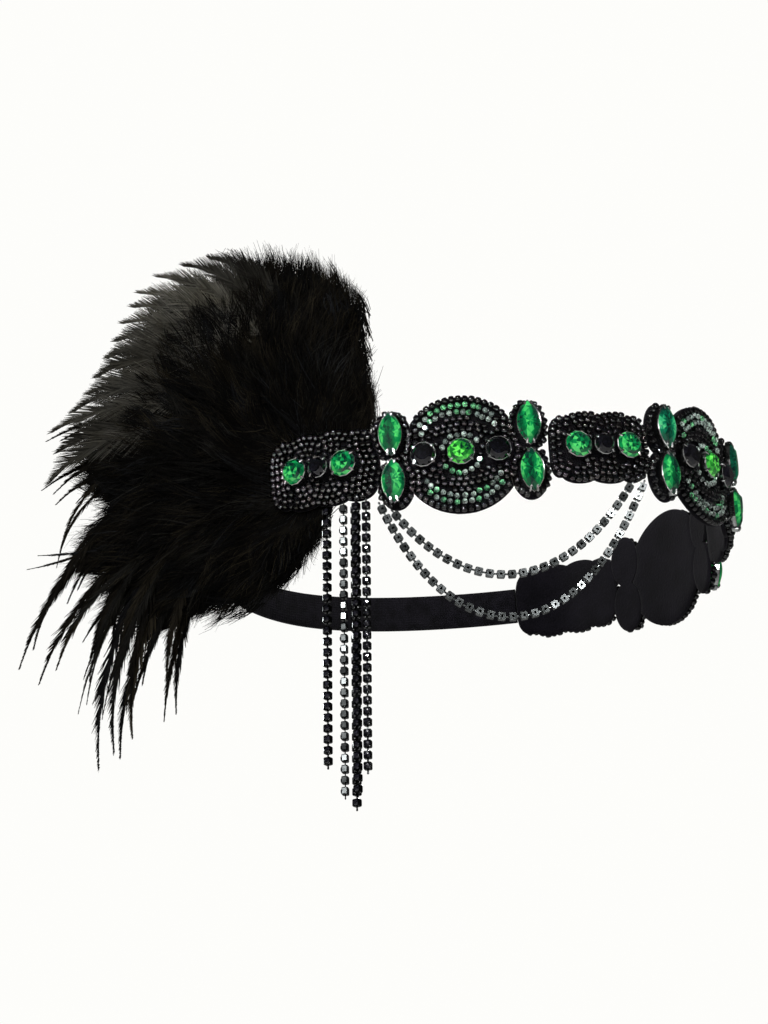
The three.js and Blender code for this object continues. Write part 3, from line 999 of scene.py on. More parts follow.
    def fillers(self, taken: list, gap: float) -> list:
        """Finds extra beads for the spots that the rows leave bare.

        Args:
            taken: Places that are used already; new ones are added.
            gap: The clearance of the new beads.

        Returns:
            Rows of u, v and direction for each new bead.
        """
        line = np.arange(-self.filler_reach, self.filler_reach, self.filler_step)
        u, v = (a.ravel() for a in np.meshgrid(line, line))
        free = self.inside(u * self.filler_inset, v * self.filler_inset) & self.inside(u, v)
        for stone in self.stones():
            free &= ~stone.covers(u, v, gap * 0.5)
        found = []
        for a, b in zip(u[free], v[free]):
            spots = np.array(taken)
            if (np.hypot(spots[:, 0] - a, spots[:, 1] - b) >= (spots[:, 2] + gap) * self.filler_room).all():
                taken.append((a, b, gap))
                found.append((a, b, math.atan2(b, a) + math.pi / 2))
        return found

    def frames(self, rows: np.ndarray, depth: float, rng: np.random.Generator, tilt: float) -> np.ndarray:
        """Works out a matrix for each piece, its X along its row and its Z out of the felt.

        Args:
            rows: The pieces' places and directions.
            depth: Their distance out from the felt's inner face.
            rng: The source of their small differences.
            tilt: How far they tilt.

        Returns:
            The 3 by 4 matrices.
        """
        s, v = self.at + rows[:, 0], rows[:, 1]
        along, out = RING.directions(s)
        c, d = np.cos(rows[:, 2])[:, None], np.sin(rows[:, 2])[:, None]
        x = unit(along * c + Z * d + out * rng.normal(0, tilt, (len(rows), 1)))
        side = unit(np.cross(out, x) + out * rng.normal(0, tilt, (len(rows), 1)))
        z = np.cross(x, side)
        at = RING.place(s, v, depth + rng.normal(0, 0.00008, len(rows)))
        return frames_from(*(RING.lifted(a) for a in (x, side, z, at)))

    def seed_beads(self, rows: np.ndarray, rng: np.random.Generator) -> bpy.types.Object:
        """Makes the unit's sewn seed beads.

        Args:
            rows: The beads' places and directions.
            rng: The source of their small differences.

        Returns:
            The beads, as one piece.
        """
        half, radius, hole = 0.00086, 0.00106, 0.00036
        bend, shoulder, flat = 0.8, 0.92, 0.42
        height, tilt, size_spread = 0.00105, 0.16, 0.05
        side = np.array([(half, hole), (half * shoulder, radius * bend), (half * flat, radius)])
        profile = np.concatenate([side * (-1, 1), side[::-1]])
        points, faces = turned_shape(profile, 10, True)
        sizes = rng.normal(1.0, size_spread, (len(rows), 1, 1)).clip(0.86, 1.12)
        frames = self.frames(rows, SIZES.felt + height, rng, tilt)
        frames[:, :, :3] *= sizes
        shade = rng.uniform(0.7, 1.5, (len(rows), 1))
        warmth = rng.uniform(-0.2, 0.2, (len(rows), 1))
        tints = np.concatenate([shade * (1 + warmth), shade, shade * (1 - warmth)], axis=1)
        parts = MeshParts()
        parts.add_copies(points, faces, frames, tints)
        return settle(parts.build(f"seed_beads_{self.name}", [SEED_BEAD]))

    def crystals(self, rows: np.ndarray, rng: np.random.Generator) -> bpy.types.Object:
        """Makes the medallion's small cut crystals, each in a thin dark cup.

        Args:
            rows: The crystals' places and directions.
            rng: The source of their differences.

        Returns:
            The crystals, as one piece.
        """
        look = CRYSTAL_LOOK
        cut = CutStone(
            8, lambda a: np.full_like(a, look.radius), height=look.height, wall=look.wall, claws=()
        )
        parts = MeshParts()
        frames = self.frames(rows, SIZES.felt + look.wall, rng, look.tilt)
        near = np.hypot(rows[:, 0], rows[:, 1]) < look.near
        for matrix, close in zip(frames, near):
            draw = rng.random()
            if draw < (look.green_near if close else look.green_far):
                shade, low, high = look.green
            elif draw < look.not_clear:
                shade, low, high = look.smoky
            else:
                shade, low, high = look.clear
            colour = np.array(shade) * rng.uniform(low, high)
            # The crystal's facets get painted light, shade and highlights
            cut.add_to(parts, matrix, rng, colour, colour * look.darkest)
        obj = parts.build(f"crystals_{self.name}", [CRYSTAL, GUNMETAL], flat=True)
        return settle(obj)


# Cut stones in settings


@dataclass(frozen=True)
class FacetPaintedLight:
    """How painted light, shade and highlights alternate over a cut stone's facets."""

    contrast: float = 0.62
    depth: float = 0.06
    facet_spread: float = 0.14
    corner_spread: float = 0.05
    curve: float = 2.4
    stripes: float = 4.6
    long_glow: float = 0.36
    bezel_glow: float = 0.06
    row_turn: float = 1.9
    round_glow: float = 0.3
    side_glow: float = 0.16
    table_glow: float = 0.12
    glint_from: float = 0.82
    glint: tuple[float, float, float] = (0.16, 0.4, 0.1)


FACET_PAINTED_LIGHT = FacetPaintedLight()


@dataclass
class CutStone:
    """A cut stone with its table, two rows of facets, its setting wall and its claws."""

    sides: int
    reach: Callable[[np.ndarray], np.ndarray]
    height: float
    wall: float
    claws: tuple[tuple[float, float], ...]
    table_share: float = 0.55
    first: float = 0.5

    def ring(
        self, share: float, height: float, turn: float = 0.0, inset: float = 0.0
    ) -> np.ndarray:
        """Works out the points of one level of the stone.

        Args:
            share: The level's width as a share of the stone's.
            height: Its height.
            turn: How far it is turned, as a share of a side.
            inset: How far it lies inside the stone's outline.

        Returns:
            The points, one for each side.
        """
        a = round_steps(self.sides, self.first + turn)
        r = (self.reach(a) - inset) * share
        return np.stack([r * np.cos(a), r * np.sin(a), np.full_like(a, height)], axis=1)

    def facets(self) -> tuple[np.ndarray, np.ndarray]:
        """Works out the stone's facets.

        Returns:
            The triangles, and a number for each that tells their rows apart.
        """
        top = self.wall + self.height
        girdle = self.ring(0.985, self.wall)
        upper = self.ring(0.8, self.wall + 0.62 * self.height, turn=0.5)
        table = self.ring(self.table_share, top)
        inner = self.ring(self.table_share * 0.55, top, turn=0.5)
        middle = np.array([0.0, 0.0, top])
        faces, rows = [], []
        for i in range(self.sides):
            k, p = (i + 1) % self.sides, (i - 1) % self.sides
            faces += [(girdle[i], girdle[k], upper[i]), (girdle[i], upper[i], upper[p]),
                      (upper[i], table[k], table[i]), (upper[p], upper[i], table[i]),
                      (table[i], table[k], inner[i]), (table[i], inner[i], inner[p]),
                      (inner[p], inner[i], middle)]
            rows += [0, 1, 2, 2, 3, 4, 5]
        return np.array(faces), np.array(rows)

    def painted_facet_light(
        self, faces: np.ndarray, rows: np.ndarray, rng: np.random.Generator, bright: np.ndarray,
        dark: np.ndarray
    ) -> np.ndarray:
        """Paints light, shade and highlights over the facets, across a long stone or round a round one.

        Args:
            faces: The triangles.
            rows: The number of each one's row.
            rng: The source of the facets' differences.
            bright: The colour painted on the facets that are shown as lit.
            dark: The colour painted on those that are shown as in shade.

        Returns:
            A colour with painted light and shade for each corner of each triangle.
        """
        play, count = FACET_PAINTED_LIGHT, len(faces)
        wide, long = np.abs(faces[..., 0]).max(), np.abs(faces[..., 1]).max()
        centre = faces.mean(axis=1)
        turn = rng.uniform(0, 2 * math.pi)
        if long > 1.3 * wide:
            # Painted reflections: stripes of light and shade across a long stone
            place = 0.5 * faces[..., 0] + 0.5 * centre[:, None, 0]
            wave = 0.5 + 0.5 * np.sin(play.stripes * place / wide + turn)
            # Painted light: a long stone is lighter in its middle and on its bezel facets, darker at its tips
            glow = play.long_glow * np.cos(0.49 * math.pi * faces[..., 1] / long)
            glow = glow + play.bezel_glow * (rows[:, None] == 2)
        else:
            middle = np.arctan2(centre[:, 1], centre[:, 0])[:, None]
            # Painted reflections: light and shade turn round a round stone
            wave = 0.5 + 0.5 * np.sin(2 * middle + turn + play.row_turn * rows[:, None])
            # Painted light: a round stone is lighter on one side and on its table
            glow = play.round_glow - play.side_glow * np.cos(middle) - play.side_glow * np.sin(middle)
            glow = glow + play.table_glow * (rows[:, None] > 3)
        corner = play.contrast * wave + glow - play.depth + rng.normal(0, play.facet_spread, (count, 1))
        corner = corner + rng.normal(0, play.corner_spread, (count, 3))
        corner = np.clip(corner, 0, 1)[..., None]
        # Painted highlight: the brightest facets of green stones get a lime glint
        glint = np.clip((corner - play.glint_from) / (1 - play.glint_from), 0, 1)
        lime = glint * bright[1] * np.array(play.glint)
        return dark + (bright - dark) * corner**play.curve + lime * (bright[1] > 3 * bright[0])

    def add_to(
        self, parts: MeshParts, matrix: np.ndarray, rng: np.random.Generator, bright: np.ndarray,
        dark: np.ndarray
    ) -> None:
        """Adds the stone, its setting and its claws, in material slots 0 and 1.

        Args:
            parts: The mesh to add to.
            matrix: The stone's 3 by 4 frame.
            rng: The source of the facets' differences.
            bright: The colour painted on the facets that are shown as lit.
            dark: The colour painted on those that are shown as in shade.
        """
        faces, rows = self.facets()
        # Each facet gets its painted light, shade and highlight
        colours = self.painted_facet_light(faces, rows, rng, bright, dark).reshape(-1, 3)
        corners = faces.reshape(-1, 3)
        parts.add(placed(corners, matrix), np.arange(len(corners)).reshape(-1, 3), colours, 0)
        wall = self.wall
        levels = [(0.0, 0.00025), (wall * 0.8, 0.0), (wall, -0.00006), (wall + 0.00022, 0.00012),
                  (wall + 0.0001, 0.0004)]
        rings = np.concatenate([self.ring(1.0, height, inset=inset) for height, inset in levels])
        parts.add(placed(rings, matrix), grid_faces(len(levels), self.sides), 1.0, 1)
        for angle, size in self.claws:
            self.add_claw(parts, matrix, angle, size)

    def add_claw(self, parts: MeshParts, matrix: np.ndarray, angle: float, size: float) -> None:
        """Adds one claw that bends over the stone's edge.

        Args:
            parts: The mesh to add to.
            matrix: The stone's 3 by 4 frame.
            angle: The claw's place round the stone.
            size: Its size.
        """
        r = float(self.reach(np.array([angle]))[0])
        out = np.array([math.cos(angle), math.sin(angle), 0.0])
        side = np.array([-out[1], out[0], 0.0])
        wall, sides = self.wall, 6
        path = [(r + 0.15 * size, 0.15 * wall, 0.8), (r + 0.35 * size, 0.8 * wall, 0.95),
                (r + 0.25 * size, wall + 0.35 * size, 1.0), (r - 0.35 * size, wall + 0.75 * size, 0.95),
                (r - 0.95 * size, wall + 0.85 * size, 0.6), (r - 1.15 * size, wall + 0.7 * size, 0.1)]
        a = round_steps(sides)[:, None]
        rings = []
        for k, (distance, height, width) in enumerate(path):
            before, after = path[max(k - 1, 0)], path[min(k + 1, len(path) - 1)]
            line = unit(out * (after[0] - before[0]) + Z * (after[1] - before[1]))
            up = np.cross(line, side)
            w = 0.42 * size * width
            rings.append(out * distance + Z * height + np.cos(a) * side * w + np.sin(a) * up * w * 0.7)
        parts.add(placed(np.concatenate(rings), matrix), grid_faces(len(path), sides), 1.0, 1)


def navette_reach(a: np.ndarray) -> np.ndarray:
    """Works out a navette's pointed oval.

    Args:
        a: Directions, in radians.

    Returns:
        How far the oval reaches in each.
    """
    half, wide = SIZES.navette_half_length, SIZES.navette_half_width
    arc = (half**2 + wide**2) / (2 * wide)
    offset = arc - wide
    across = np.abs(np.cos(a)) * offset
    return np.sqrt(arc**2 - offset**2 + across**2) - across


@dataclass
class StoneSetter:
    """Sets each main stone on its unit."""

    emerald: tuple[float, float, float] = (0.004, 0.5, 0.11)
    sea_green: tuple[float, float, float] = (0.003, 0.42, 0.18)
    lime: tuple[float, float, float] = (0.05, 0.66, 0.05)
    # The colour painted on green facets that are shown as in shade
    green_dark: tuple[float, float, float] = (0.0, 0.022, 0.016)
    tip_claw: float = 0.0011
    tip_turn: float = 0.17
    round_claw: float = 0.00095
    round_claws: tuple[int, ...] = (40, 140, 220, 320)
    round_table: float = 0.6

    def colours(self, stone: Stone, rng: np.random.Generator) -> tuple[np.ndarray, np.ndarray]:
        """Chooses a stone's colours.

        Args:
            stone: The stone.
            rng: The source of the choice.

        Returns:
            Its colours for the facets painted as lit and as in shade.
        """
        if not stone.green:
            # Black stones: painted lit facets in the glass's colour, a little bluer, and painted shaded facets
            # darker
            return np.array([1.0, 1.0, 1.2]), np.array([0.3, 0.3, 0.3])
        sea = rng.random() < 0.35
        if "medallion" in stone.node:
            bright = np.array(self.lime)
        else:
            bright = np.array(self.sea_green if sea else self.emerald)
        return bright, np.array(self.green_dark)

    def set_stone(
        self, owner: BeadedUnit, stone: Stone, rng: np.random.Generator
    ) -> bpy.types.Object:
        """Makes one stone with its setting.

        Args:
            owner: The unit that it sits on.
            stone: The stone's place.
            rng: The source of its facets' differences.

        Returns:
            The piece that stands for the stone's node.
        """
        s = SIZES
        at = owner.at + stone.u
        along, out = RING.directions(np.array([at]))
        place = RING.place([at], [stone.v], [s.stone_base])
        matrix = np.stack([RING.lifted(a[0]) for a in (-along, Z[None], out, place)], axis=-1)
        if stone.navette:
            ends = (math.pi / 2, -math.pi / 2)
            claws = tuple((end + d, self.tip_claw) for end in ends for d in (self.tip_turn, -self.tip_turn))
            sides, reach, table, first = 16, navette_reach, s.table_share, 0.0
        else:
            claws = tuple((math.radians(d), self.round_claw) for d in self.round_claws)
            sides, reach, table, first = 12, lambda a: np.full_like(a, stone.radius), self.round_table, 0.5
        cut = CutStone(sides, reach, s.stone_height, s.setting_height, claws, table, first)
        bright, dark = self.colours(stone, rng)
        parts = MeshParts()
        cut.add_to(parts, matrix, rng, bright, dark)
        glass = GREEN_GLASS if stone.green else BLACK_GLASS
        obj = parts.build(f"set_{stone.node}", [glass, CLAW_METAL], flat=True)
        return settle(obj, [stone.node])


# Cup chains


@dataclass
class CupChain:
    """Square cups with black cut stones, joined by narrow links."""

    cup: float = 0.0025
    depth: float = 0.0019
    pitch: float = 0.0035
    hang_gap: float = 0.00035
    rim: float = 0.00026
    corner: float = 0.00045
    table_rise: float = 0.00042
    point_rise: float = 0.00046
    wire: float = 0.00038
    link_tuck: float = 0.00035
    swing: float = 0.035
    search_depth: float = 0.03
    search_step: float = 0.00005
    # Painted light and shade on the cups' metal: lighter on the swags, much darker on the fringe
    swag_painted_light: float = 1.5
    fringe_painted_shade: float = 0.11

    def cup_shape(self) -> tuple[np.ndarray, np.ndarray, np.ndarray, np.ndarray]:
        """Works out the shape of one cup with its stone.

        Returns:
            The metal's points and faces, and the stone's points and triangles.
        """
        half, front = self.cup / 2, self.depth / 2
        straight = half - self.corner
        base = []
        for cx, cy, start in ((1, 1, 0), (-1, 1, 90), (-1, -1, 180), (1, -1, 270)):
            for turn in (10, 45, 80):
                a = math.radians(start + turn)
                base.append((cx * straight + self.corner * math.cos(a),
                             cy * straight + self.corner * math.sin(a)))
        base = np.array(base)
        n = len(base)
        levels = [(0.3, -front), (0.9, -front), (1.0, -front * 0.7), (1.0, front * 0.75), (0.93, front),
                  (1 - self.rim / half, front * 0.95), (0.74, front * 0.6)]
        rings = [np.column_stack([base * share, np.full(n, height)]) for share, height in levels]
        sides = 8
        a = round_steps(sides, 0.5)
        square = 0.84 * half / np.maximum(np.abs(np.cos(a)), np.abs(np.sin(a)))
        edge = np.column_stack([square * np.cos(a), square * np.sin(a)])
        girdle = np.column_stack([edge, np.full(sides, front * 0.72)])
        table = np.column_stack([0.56 * edge, np.full(sides, front + self.table_rise)])
        middle = (0, 0, front + self.point_rise)
        stone = []
        for k in range(sides):
            q = (k + 1) % sides
            stone += [girdle[k], girdle[q], table[k], girdle[q], table[q], table[k], table[k], table[q], middle]
        triangles = np.arange(len(stone)).reshape(-1, 3)
        return np.concatenate(rings), grid_faces(len(levels), n), np.array(stone), triangles

    def make(
        self, name: str, node: str, middles: np.ndarray, lines: np.ndarray, facing: np.ndarray,
        rng: np.random.Generator
    ) -> bpy.types.Object:
        """Makes a chain from its cups' middles and lines.

        Args:
            name: The piece's name.
            node: The node that it stands for.
            middles: The middles of the cups.
            lines: The chain's direction at each cup.
            facing: The direction that the stones face.
            rng: The source of the small differences.

        Returns:
            The chain.
        """
        count = len(middles)
        facings = np.broadcast_to(facing, middles.shape)
        swing = rng.normal(0, self.swing, (count, 1))
        z = unit(facings + np.cross(lines, facings) * swing)
        x = unit(np.cross(lines, z))
        frames = frames_from(x, lines, z, middles)
        metal, quads, stone, facets = self.cup_shape()
        parts = MeshParts()
        # Painted light and shade: the same metal is lit lighter on the swags and shaded darker on the fringe
        painted_metal_light = np.full((1, 3), self.swag_painted_light if name.startswith("swag") else self.fringe_painted_shade)
        parts.add_copies(metal, quads, frames, rng.uniform(0.6, 1.3, (count, 1)) * painted_metal_light, 1)
        # Painted reflections: each facet of a cup's black stone gets its own random brightness
        shades = rng.uniform(0.4, 2.6, (count, len(facets), 1, 1)) ** 1.6
        shades = np.broadcast_to(shades, (count, len(facets), 3, 3)).reshape(count, -1, 3)
        parts.add_copies(stone, facets, frames, shades, 0)
        half, wire = (self.pitch - self.cup) / 2 + self.link_tuck, self.wire
        profile = np.array([(-half, wire * 0.6), (-half * 0.7, wire), (0, wire * 0.8),
                            (half * 0.7, wire), (half, wire * 0.6)])
        rod, rod_faces = turned_shape(profile, 7, False)
        rod = rod * np.array([1, 1, 0.6])
        first = middles[:1] - lines[:1] * self.pitch / 2
        last = middles[-1:] + lines[-1:] * self.pitch / 2
        places = np.concatenate([first, (middles[1:] + middles[:-1]) / 2, last])
        ways = unit(np.concatenate([lines[:1], lines[1:] + lines[:-1], lines[-1:]]))
        sides = unit(np.cross(np.concatenate([z[:1], z]), ways))
        rods = frames_from(ways, sides, np.cross(ways, sides), places)
        parts.add_copies(rod, rod_faces, rods, np.repeat(painted_metal_light, len(rods), axis=0), 1)
        return settle(parts.build(name, [BLACK_GLASS, GUNMETAL], flat=True), [node])

    def hang_point(self, owner: BeadedUnit, along: float, depth: float) -> np.ndarray:
        """Finds the point just under a unit's lower edge that a chain hangs from.

        Args:
            owner: The unit.
            along: The place along it.
            depth: The distance out from the felt's inner face.

        Returns:
            The point.
        """
        heights = np.arange(-self.search_depth, 0, self.search_step)
        edges = []
        for share in (-0.5, 0, 0.5):
            hit = owner_inside(owner, along + share * self.cup, heights)
            edges.append(heights[np.argmax(hit)] if hit.any() else 0.0)
        return RING.lifted(RING.place(owner.at + along, min(edges) - self.hang_gap, depth))

    def fringe(
        self, owner: BeadedUnit, number: int, row: "Strand", rng: np.random.Generator
    ) -> bpy.types.Object:
        """Makes one strand of the fringe.

        Args:
            owner: The unit that it hangs from.
            number: Its number.
            row: Its place and length.
            rng: The source of the small differences.

        Returns:
            The strand.
        """
        along = row.along * SIZES.end_width
        top = self.hang_point(owner, along, row.depth * (SIZES.felt + SIZES.bed))
        _, out = RING.directions(np.array([owner.at + along]))
        x, y, _ = unit(RING.lifted(out[0]) * np.array([1, 1, 0]))
        turn = -math.radians(row.turn)
        c, s = math.cos(turn), math.sin(turn)
        facing = np.array([c * x - s * y, s * x + c * y, 0.0])
        middles = top - Z * (np.arange(row.cups)[:, None] + 0.5) * self.pitch
        lines = np.broadcast_to(-Z, middles.shape)
        return self.make(f"fringe_chain_{number}", f"fringe_strand_{number}", middles, lines, facing, rng)

    def swag(
        self, start: np.ndarray, end: np.ndarray, spare: float, name: str, rng: np.random.Generator
    ) -> bpy.types.Object:
        """Makes one swag that hangs between two points.

        Args:
            start: Its first point.
            end: Its last point.
            spare: Its spare length as a share of the straight line.
            name: The swag's place, upper or lower.
            rng: The source of the small differences.

        Returns:
            The swag.
        """
        count = round(float(np.linalg.norm(end - start)) * (1 + spare) / self.pitch)
        curve = hanging_curve(start, end, count * self.pitch)
        k = np.arange(count)
        middles = curve((k + 0.5) * self.pitch)
        lines = unit(curve((k + 0.9) * self.pitch) - curve((k + 0.1) * self.pitch))
        sideways = unit((end - start) * np.array([1, 1, 0]))
        facing = np.cross(sideways, -Z)
        return self.make(f"swag_chain_{name}", f"swag_{name}", middles, lines, facing, rng)


def owner_inside(owner: BeadedUnit, along: float, heights: np.ndarray) -> np.ndarray:
    """Tells which heights lie in a unit at one place along it, before it is trimmed.

    Args:
        owner: The unit, a navette pair or one of the panels.
        along: The place along it.
        heights: The heights.

    Returns:
        True where the unit is.
    """
    u = np.full_like(heights, along)
    if owner.kind is UnitKind.PAIR:
        return in_pair(u, heights, 0.0)
    width, height = SIZES.panel(owner.kind)
    return in_scalloped(width, height, u * owner.mirror, heights)


def hanging_curve(
    start: np.ndarray, end: np.ndarray, length: float
) -> Callable[[np.ndarray], np.ndarray]:
    """Works out the sagging curve of a chain between two points.

    Args:
        start: Its first point.
        end: Its last point.
        length: Its length.

    Returns:
        A function that gives the curve's points at distances along it.
    """
    span = math.hypot(end[0] - start[0], end[1] - start[1])
    rise = end[2] - start[2]
    target = math.sqrt(length**2 - rise**2) / span
    low, high = 0.01, 12.0
    for _ in range(60):
        middle = (low + high) / 2
        low, high = (middle, high) if math.sinh(middle) / middle < target else (low, middle)
    scale = span / (2 * low)
    lowest = span / 2 - scale * math.atanh(rise / length)
    level = start[2] - scale * math.cosh(-lowest / scale)
    start_arc = scale * math.sinh(-lowest / scale)

    def at(distance: np.ndarray) -> np.ndarray:
        """Works out points of the curve.

        Args:
            distance: Distances along it.

        Returns:
            The points.
        """
        across = lowest + scale * np.arcsinh((distance + start_arc) / scale)
        point = start + (end - start) * (across / span)[:, None]
        point[:, 2] = level + scale * np.cosh((across - lowest) / scale)
        return point

    return at


@dataclass(frozen=True)
class Strand:
    """One row of the fringe: its place as shares, its cups and its turn in degrees."""

    along: float
    depth: float
    cups: int
    turn: float


STRANDS = (
    Strand(-0.016, 0.5, 24, 0),
    Strand(-0.168, 0.5, 27, 80),
    Strand(-0.283, 0.68, 27, 10),
    Strand(-0.364, 0.5, 25, -5),
    Strand(-0.241, -0.39, 28, 15),
)

# The swags: their starts and ends as shares of the half widths, and their spare lengths
SWAGS = (("upper", 0.27, -0.61, 0.26), ("lower", 0.95, -0.89, 0.46))


# The elastic strap


@dataclass
class ElasticStrap:
    """The webbing that closes the band round the nape."""

    width: float = 0.012
    thickness: float = 0.0012
    tuck: float = 0.010
    gap: float = 0.0004
    pad: float = 0.0009
    pad_gap: float = 0.00055
    rounding: float = 0.0003
    steps: int = 160

    def build(self, material: bpy.types.Material) -> bpy.types.Object:
        """Makes the strap with its rounded edges and its UV map.

        Args:
            material: The elastic.

        Returns:
            The strap, which stands for its node.
        """
        panel_end = END_AT + SIZES.end_width / 2
        start, end = panel_end - self.tuck, RING.girth - END_AT - SIZES.end_width / 2 - self.gap
        inner_start = -self.pad - 2 * self.pad_gap - self.thickness
        inner_end = (SIZES.felt + SIZES.bed - self.thickness) / 2
        share = np.linspace(0, 1, self.steps + 1)
        s = start + (end - start) * share
        s = np.where(s > RING.girth / 2, s - RING.girth, s)
        base = inner_start + (inner_end - inner_start) * share
        w, t, edge = self.width / 2, self.thickness, self.width / 2 - self.rounding
        section = [(-w, 0.5 * t), (-edge, 0.0), (-0.5 * w, 0.0), (0, 0), (0.5 * w, 0), (edge, 0),
                   (w, 0.5 * t), (edge, t), (0.5 * w, t), (0, t), (-0.5 * w, t), (-edge, t)]
        rows = [RING.place(s, height, base + depth) for height, depth in section]
        n = len(section)
        parts = MeshParts()
        outward = [0, 3, 2, 1]
        points = RING.lifted(np.stack(rows, axis=1))
        parts.add(points, grid_faces(self.steps + 1, n)[:, outward])
        parts.cap_ends(n)
        obj = parts.build("ribbed_elastic_strap", [material])
        across = np.array([(h + w) / (2 * w) for h, _ in section])
        along = (s[0] + (end - start) * share)[:, None]
        places = np.stack(np.broadcast_arrays(across[None], along), axis=-1).reshape(-1, 2)
        layer = obj.data.uv_layers.new(name="webbing")
        index = np.zeros(len(obj.data.loops), np.int32)
        obj.data.loops.foreach_get("vertex_index", index)
        layer.data.foreach_set("uv", places[index].ravel().astype(np.float32))
        return settle(obj, ["elastic_strap"])


# The plume

Place = tuple[float, float, float]


@dataclass(frozen=True)
class FeatherKind:
    """How one kind of feather grows."""

    barbs: int
    barb_length: float
    spread: float
    tip_spread: float
    bend: float
    width: float
    curl: float
    ragged: float
    segments: int = 3
    bare: float = 0.05
    point: float = 1.0


MARABOU = FeatherKind(barbs=70, barb_length=0.011, spread=0.8, tip_spread=0.3, bend=0.3, width=0.00017,
                      curl=0.22, ragged=0.22)
WISP = FeatherKind(barbs=44, barb_length=0.014, spread=0.6, tip_spread=0.25, bend=0.3, width=0.00015,
                   curl=0.3, ragged=0.4)
LANCE = FeatherKind(barbs=190, barb_length=0.0066, spread=0.36, tip_spread=0.13, bend=0.2, width=0.0003,
                    curl=0.04, ragged=0.14, segments=2, bare=0.12, point=1.05)
COQUE = FeatherKind(barbs=300, barb_length=0.0125, spread=0.62, tip_spread=0.14, bend=0.25, width=0.00026,
                    curl=0.05, ragged=0.06, segments=2, bare=0.02, point=0.95)

# The plume's outline about its root: the angle from straight back, up positive, and the reach in mm
OUTLINE = np.array([
    (142, 25), (130, 33), (116, 42), (111, 55), (105, 63), (94, 69), (82, 76), (73, 79), (61, 80), (55, 82),
    (47, 77), (36, 76), (23, 77), (13, 80), (8, 77), (4, 70), (0, 71), (-5, 77), (-11, 81), (-20, 78), (-30, 76),
    (-35, 73), (-39, 65), (-43, 57), (-46, 53),
    (-53, 49), (-57, 43), (-68, 31), (-82, 24), (-95, 19),
])[::-1]

# How the plume swells from the panel's edge outward, by share of the way, and round it, by angle
SWELL_OUTWARD = ([0, 0.22, 0.5, 0.8, 1.0], [0, 0.75, 1.0, 0.7, 0.25])
SWELL_ROUND = ([-95, -60, -20, 10, 100, 142], [0.1, 0.45, 0.8, 1.0, 0.85, 0.1])

# The broad feathers at the upper back: start angle, tip angle, tip reach in millimetres and greyness
BROAD = (
    (92, 70, 82, 0.008), (86, 64, 85, 0.02), (80, 58, 88, 0.06), (75, 53, 88, 0.09), (70, 50, 86, 0.05),
    (65, 46, 85, 0.075), (60, 42, 83, 0.03), (55, 38, 82, 0.05), (50, 33, 82, 0.03), (45, 29, 82, 0.05),
    (40, 24, 85, 0.03), (35, 19, 90, 0.045), (28, 15, 86, 0.02), (24, 8, 88, 0.035), (83, 60, 80, 0.03),
    (72, 55, 80, 0.04),
)

# The long pointed feathers: start angle and reach in mm, tip angle and reach in mm, bow and size
LANCES = (
    (-6, 66, -24.4, 112, 0.07, 0.8), (-14, 58, -28.8, 109, 0.06, 0.95), (-20, 60, -38.2, 105, 0.05, 0.45),
    (-20, 52, -48.1, 114, 0.08, 1.1), (-30, 56, -48.8, 107, 0.06, 1.0), (-9, 72, -7.4, 100, -0.03, 0.25),
    (12, 62, -8.9, 90, 0.12, 0.42), (-12, 52, -33, 97, 0.05, 0.6), (-26, 52, -43, 101, 0.04, 0.4),
    (-24, 50, -46, 101, 0.06, 0.8), (-34, 48, -52, 90, 0.04, 0.7), (-18, 55, -36, 95, 0.06, 0.5),
    (-10, 56, -31, 91, 0.06, 0.8), (-28, 45, -44, 92, 0.05, 0.8), (-22, 45, -38, 90, 0.05, 0.9),
    (30, 52, 17.4, 93, 0.06, 0.6), (24, 55, 20, 88, 0.04, 0.5), (20, 55, 7.2, 92, 0.06, 0.6),
    (14, 60, 4, 87, 0.05, 0.5), (-32, 45, -50, 80, 0.05, 0.8), (3, 60, -12, 88, 0.06, 0.5),
    (0, 55, -17, 90, 0.07, 0.7), (-16, 52, -26, 95, 0.05, 0.7),
)

# The downy feathers and the tufts: part of the fan, seed, lowest and highest angle, and how many
DOWN = (("top", 5, 45, 140, 120), ("back", 6, -20, 60, 140), ("below", 7, -94, -10, 110))
TUFTS = (("top", 15, 60, 142, 500), ("back", 16, -12, 66, 560), ("below", 17, -95, -6, 430))


def fan_place(x: np.ndarray, z: np.ndarray) -> tuple[np.ndarray, np.ndarray]:
    """Returns the angles in degrees and the distances of places in the fan."""
    return np.degrees(np.arctan2(z, x)), np.hypot(x, z)


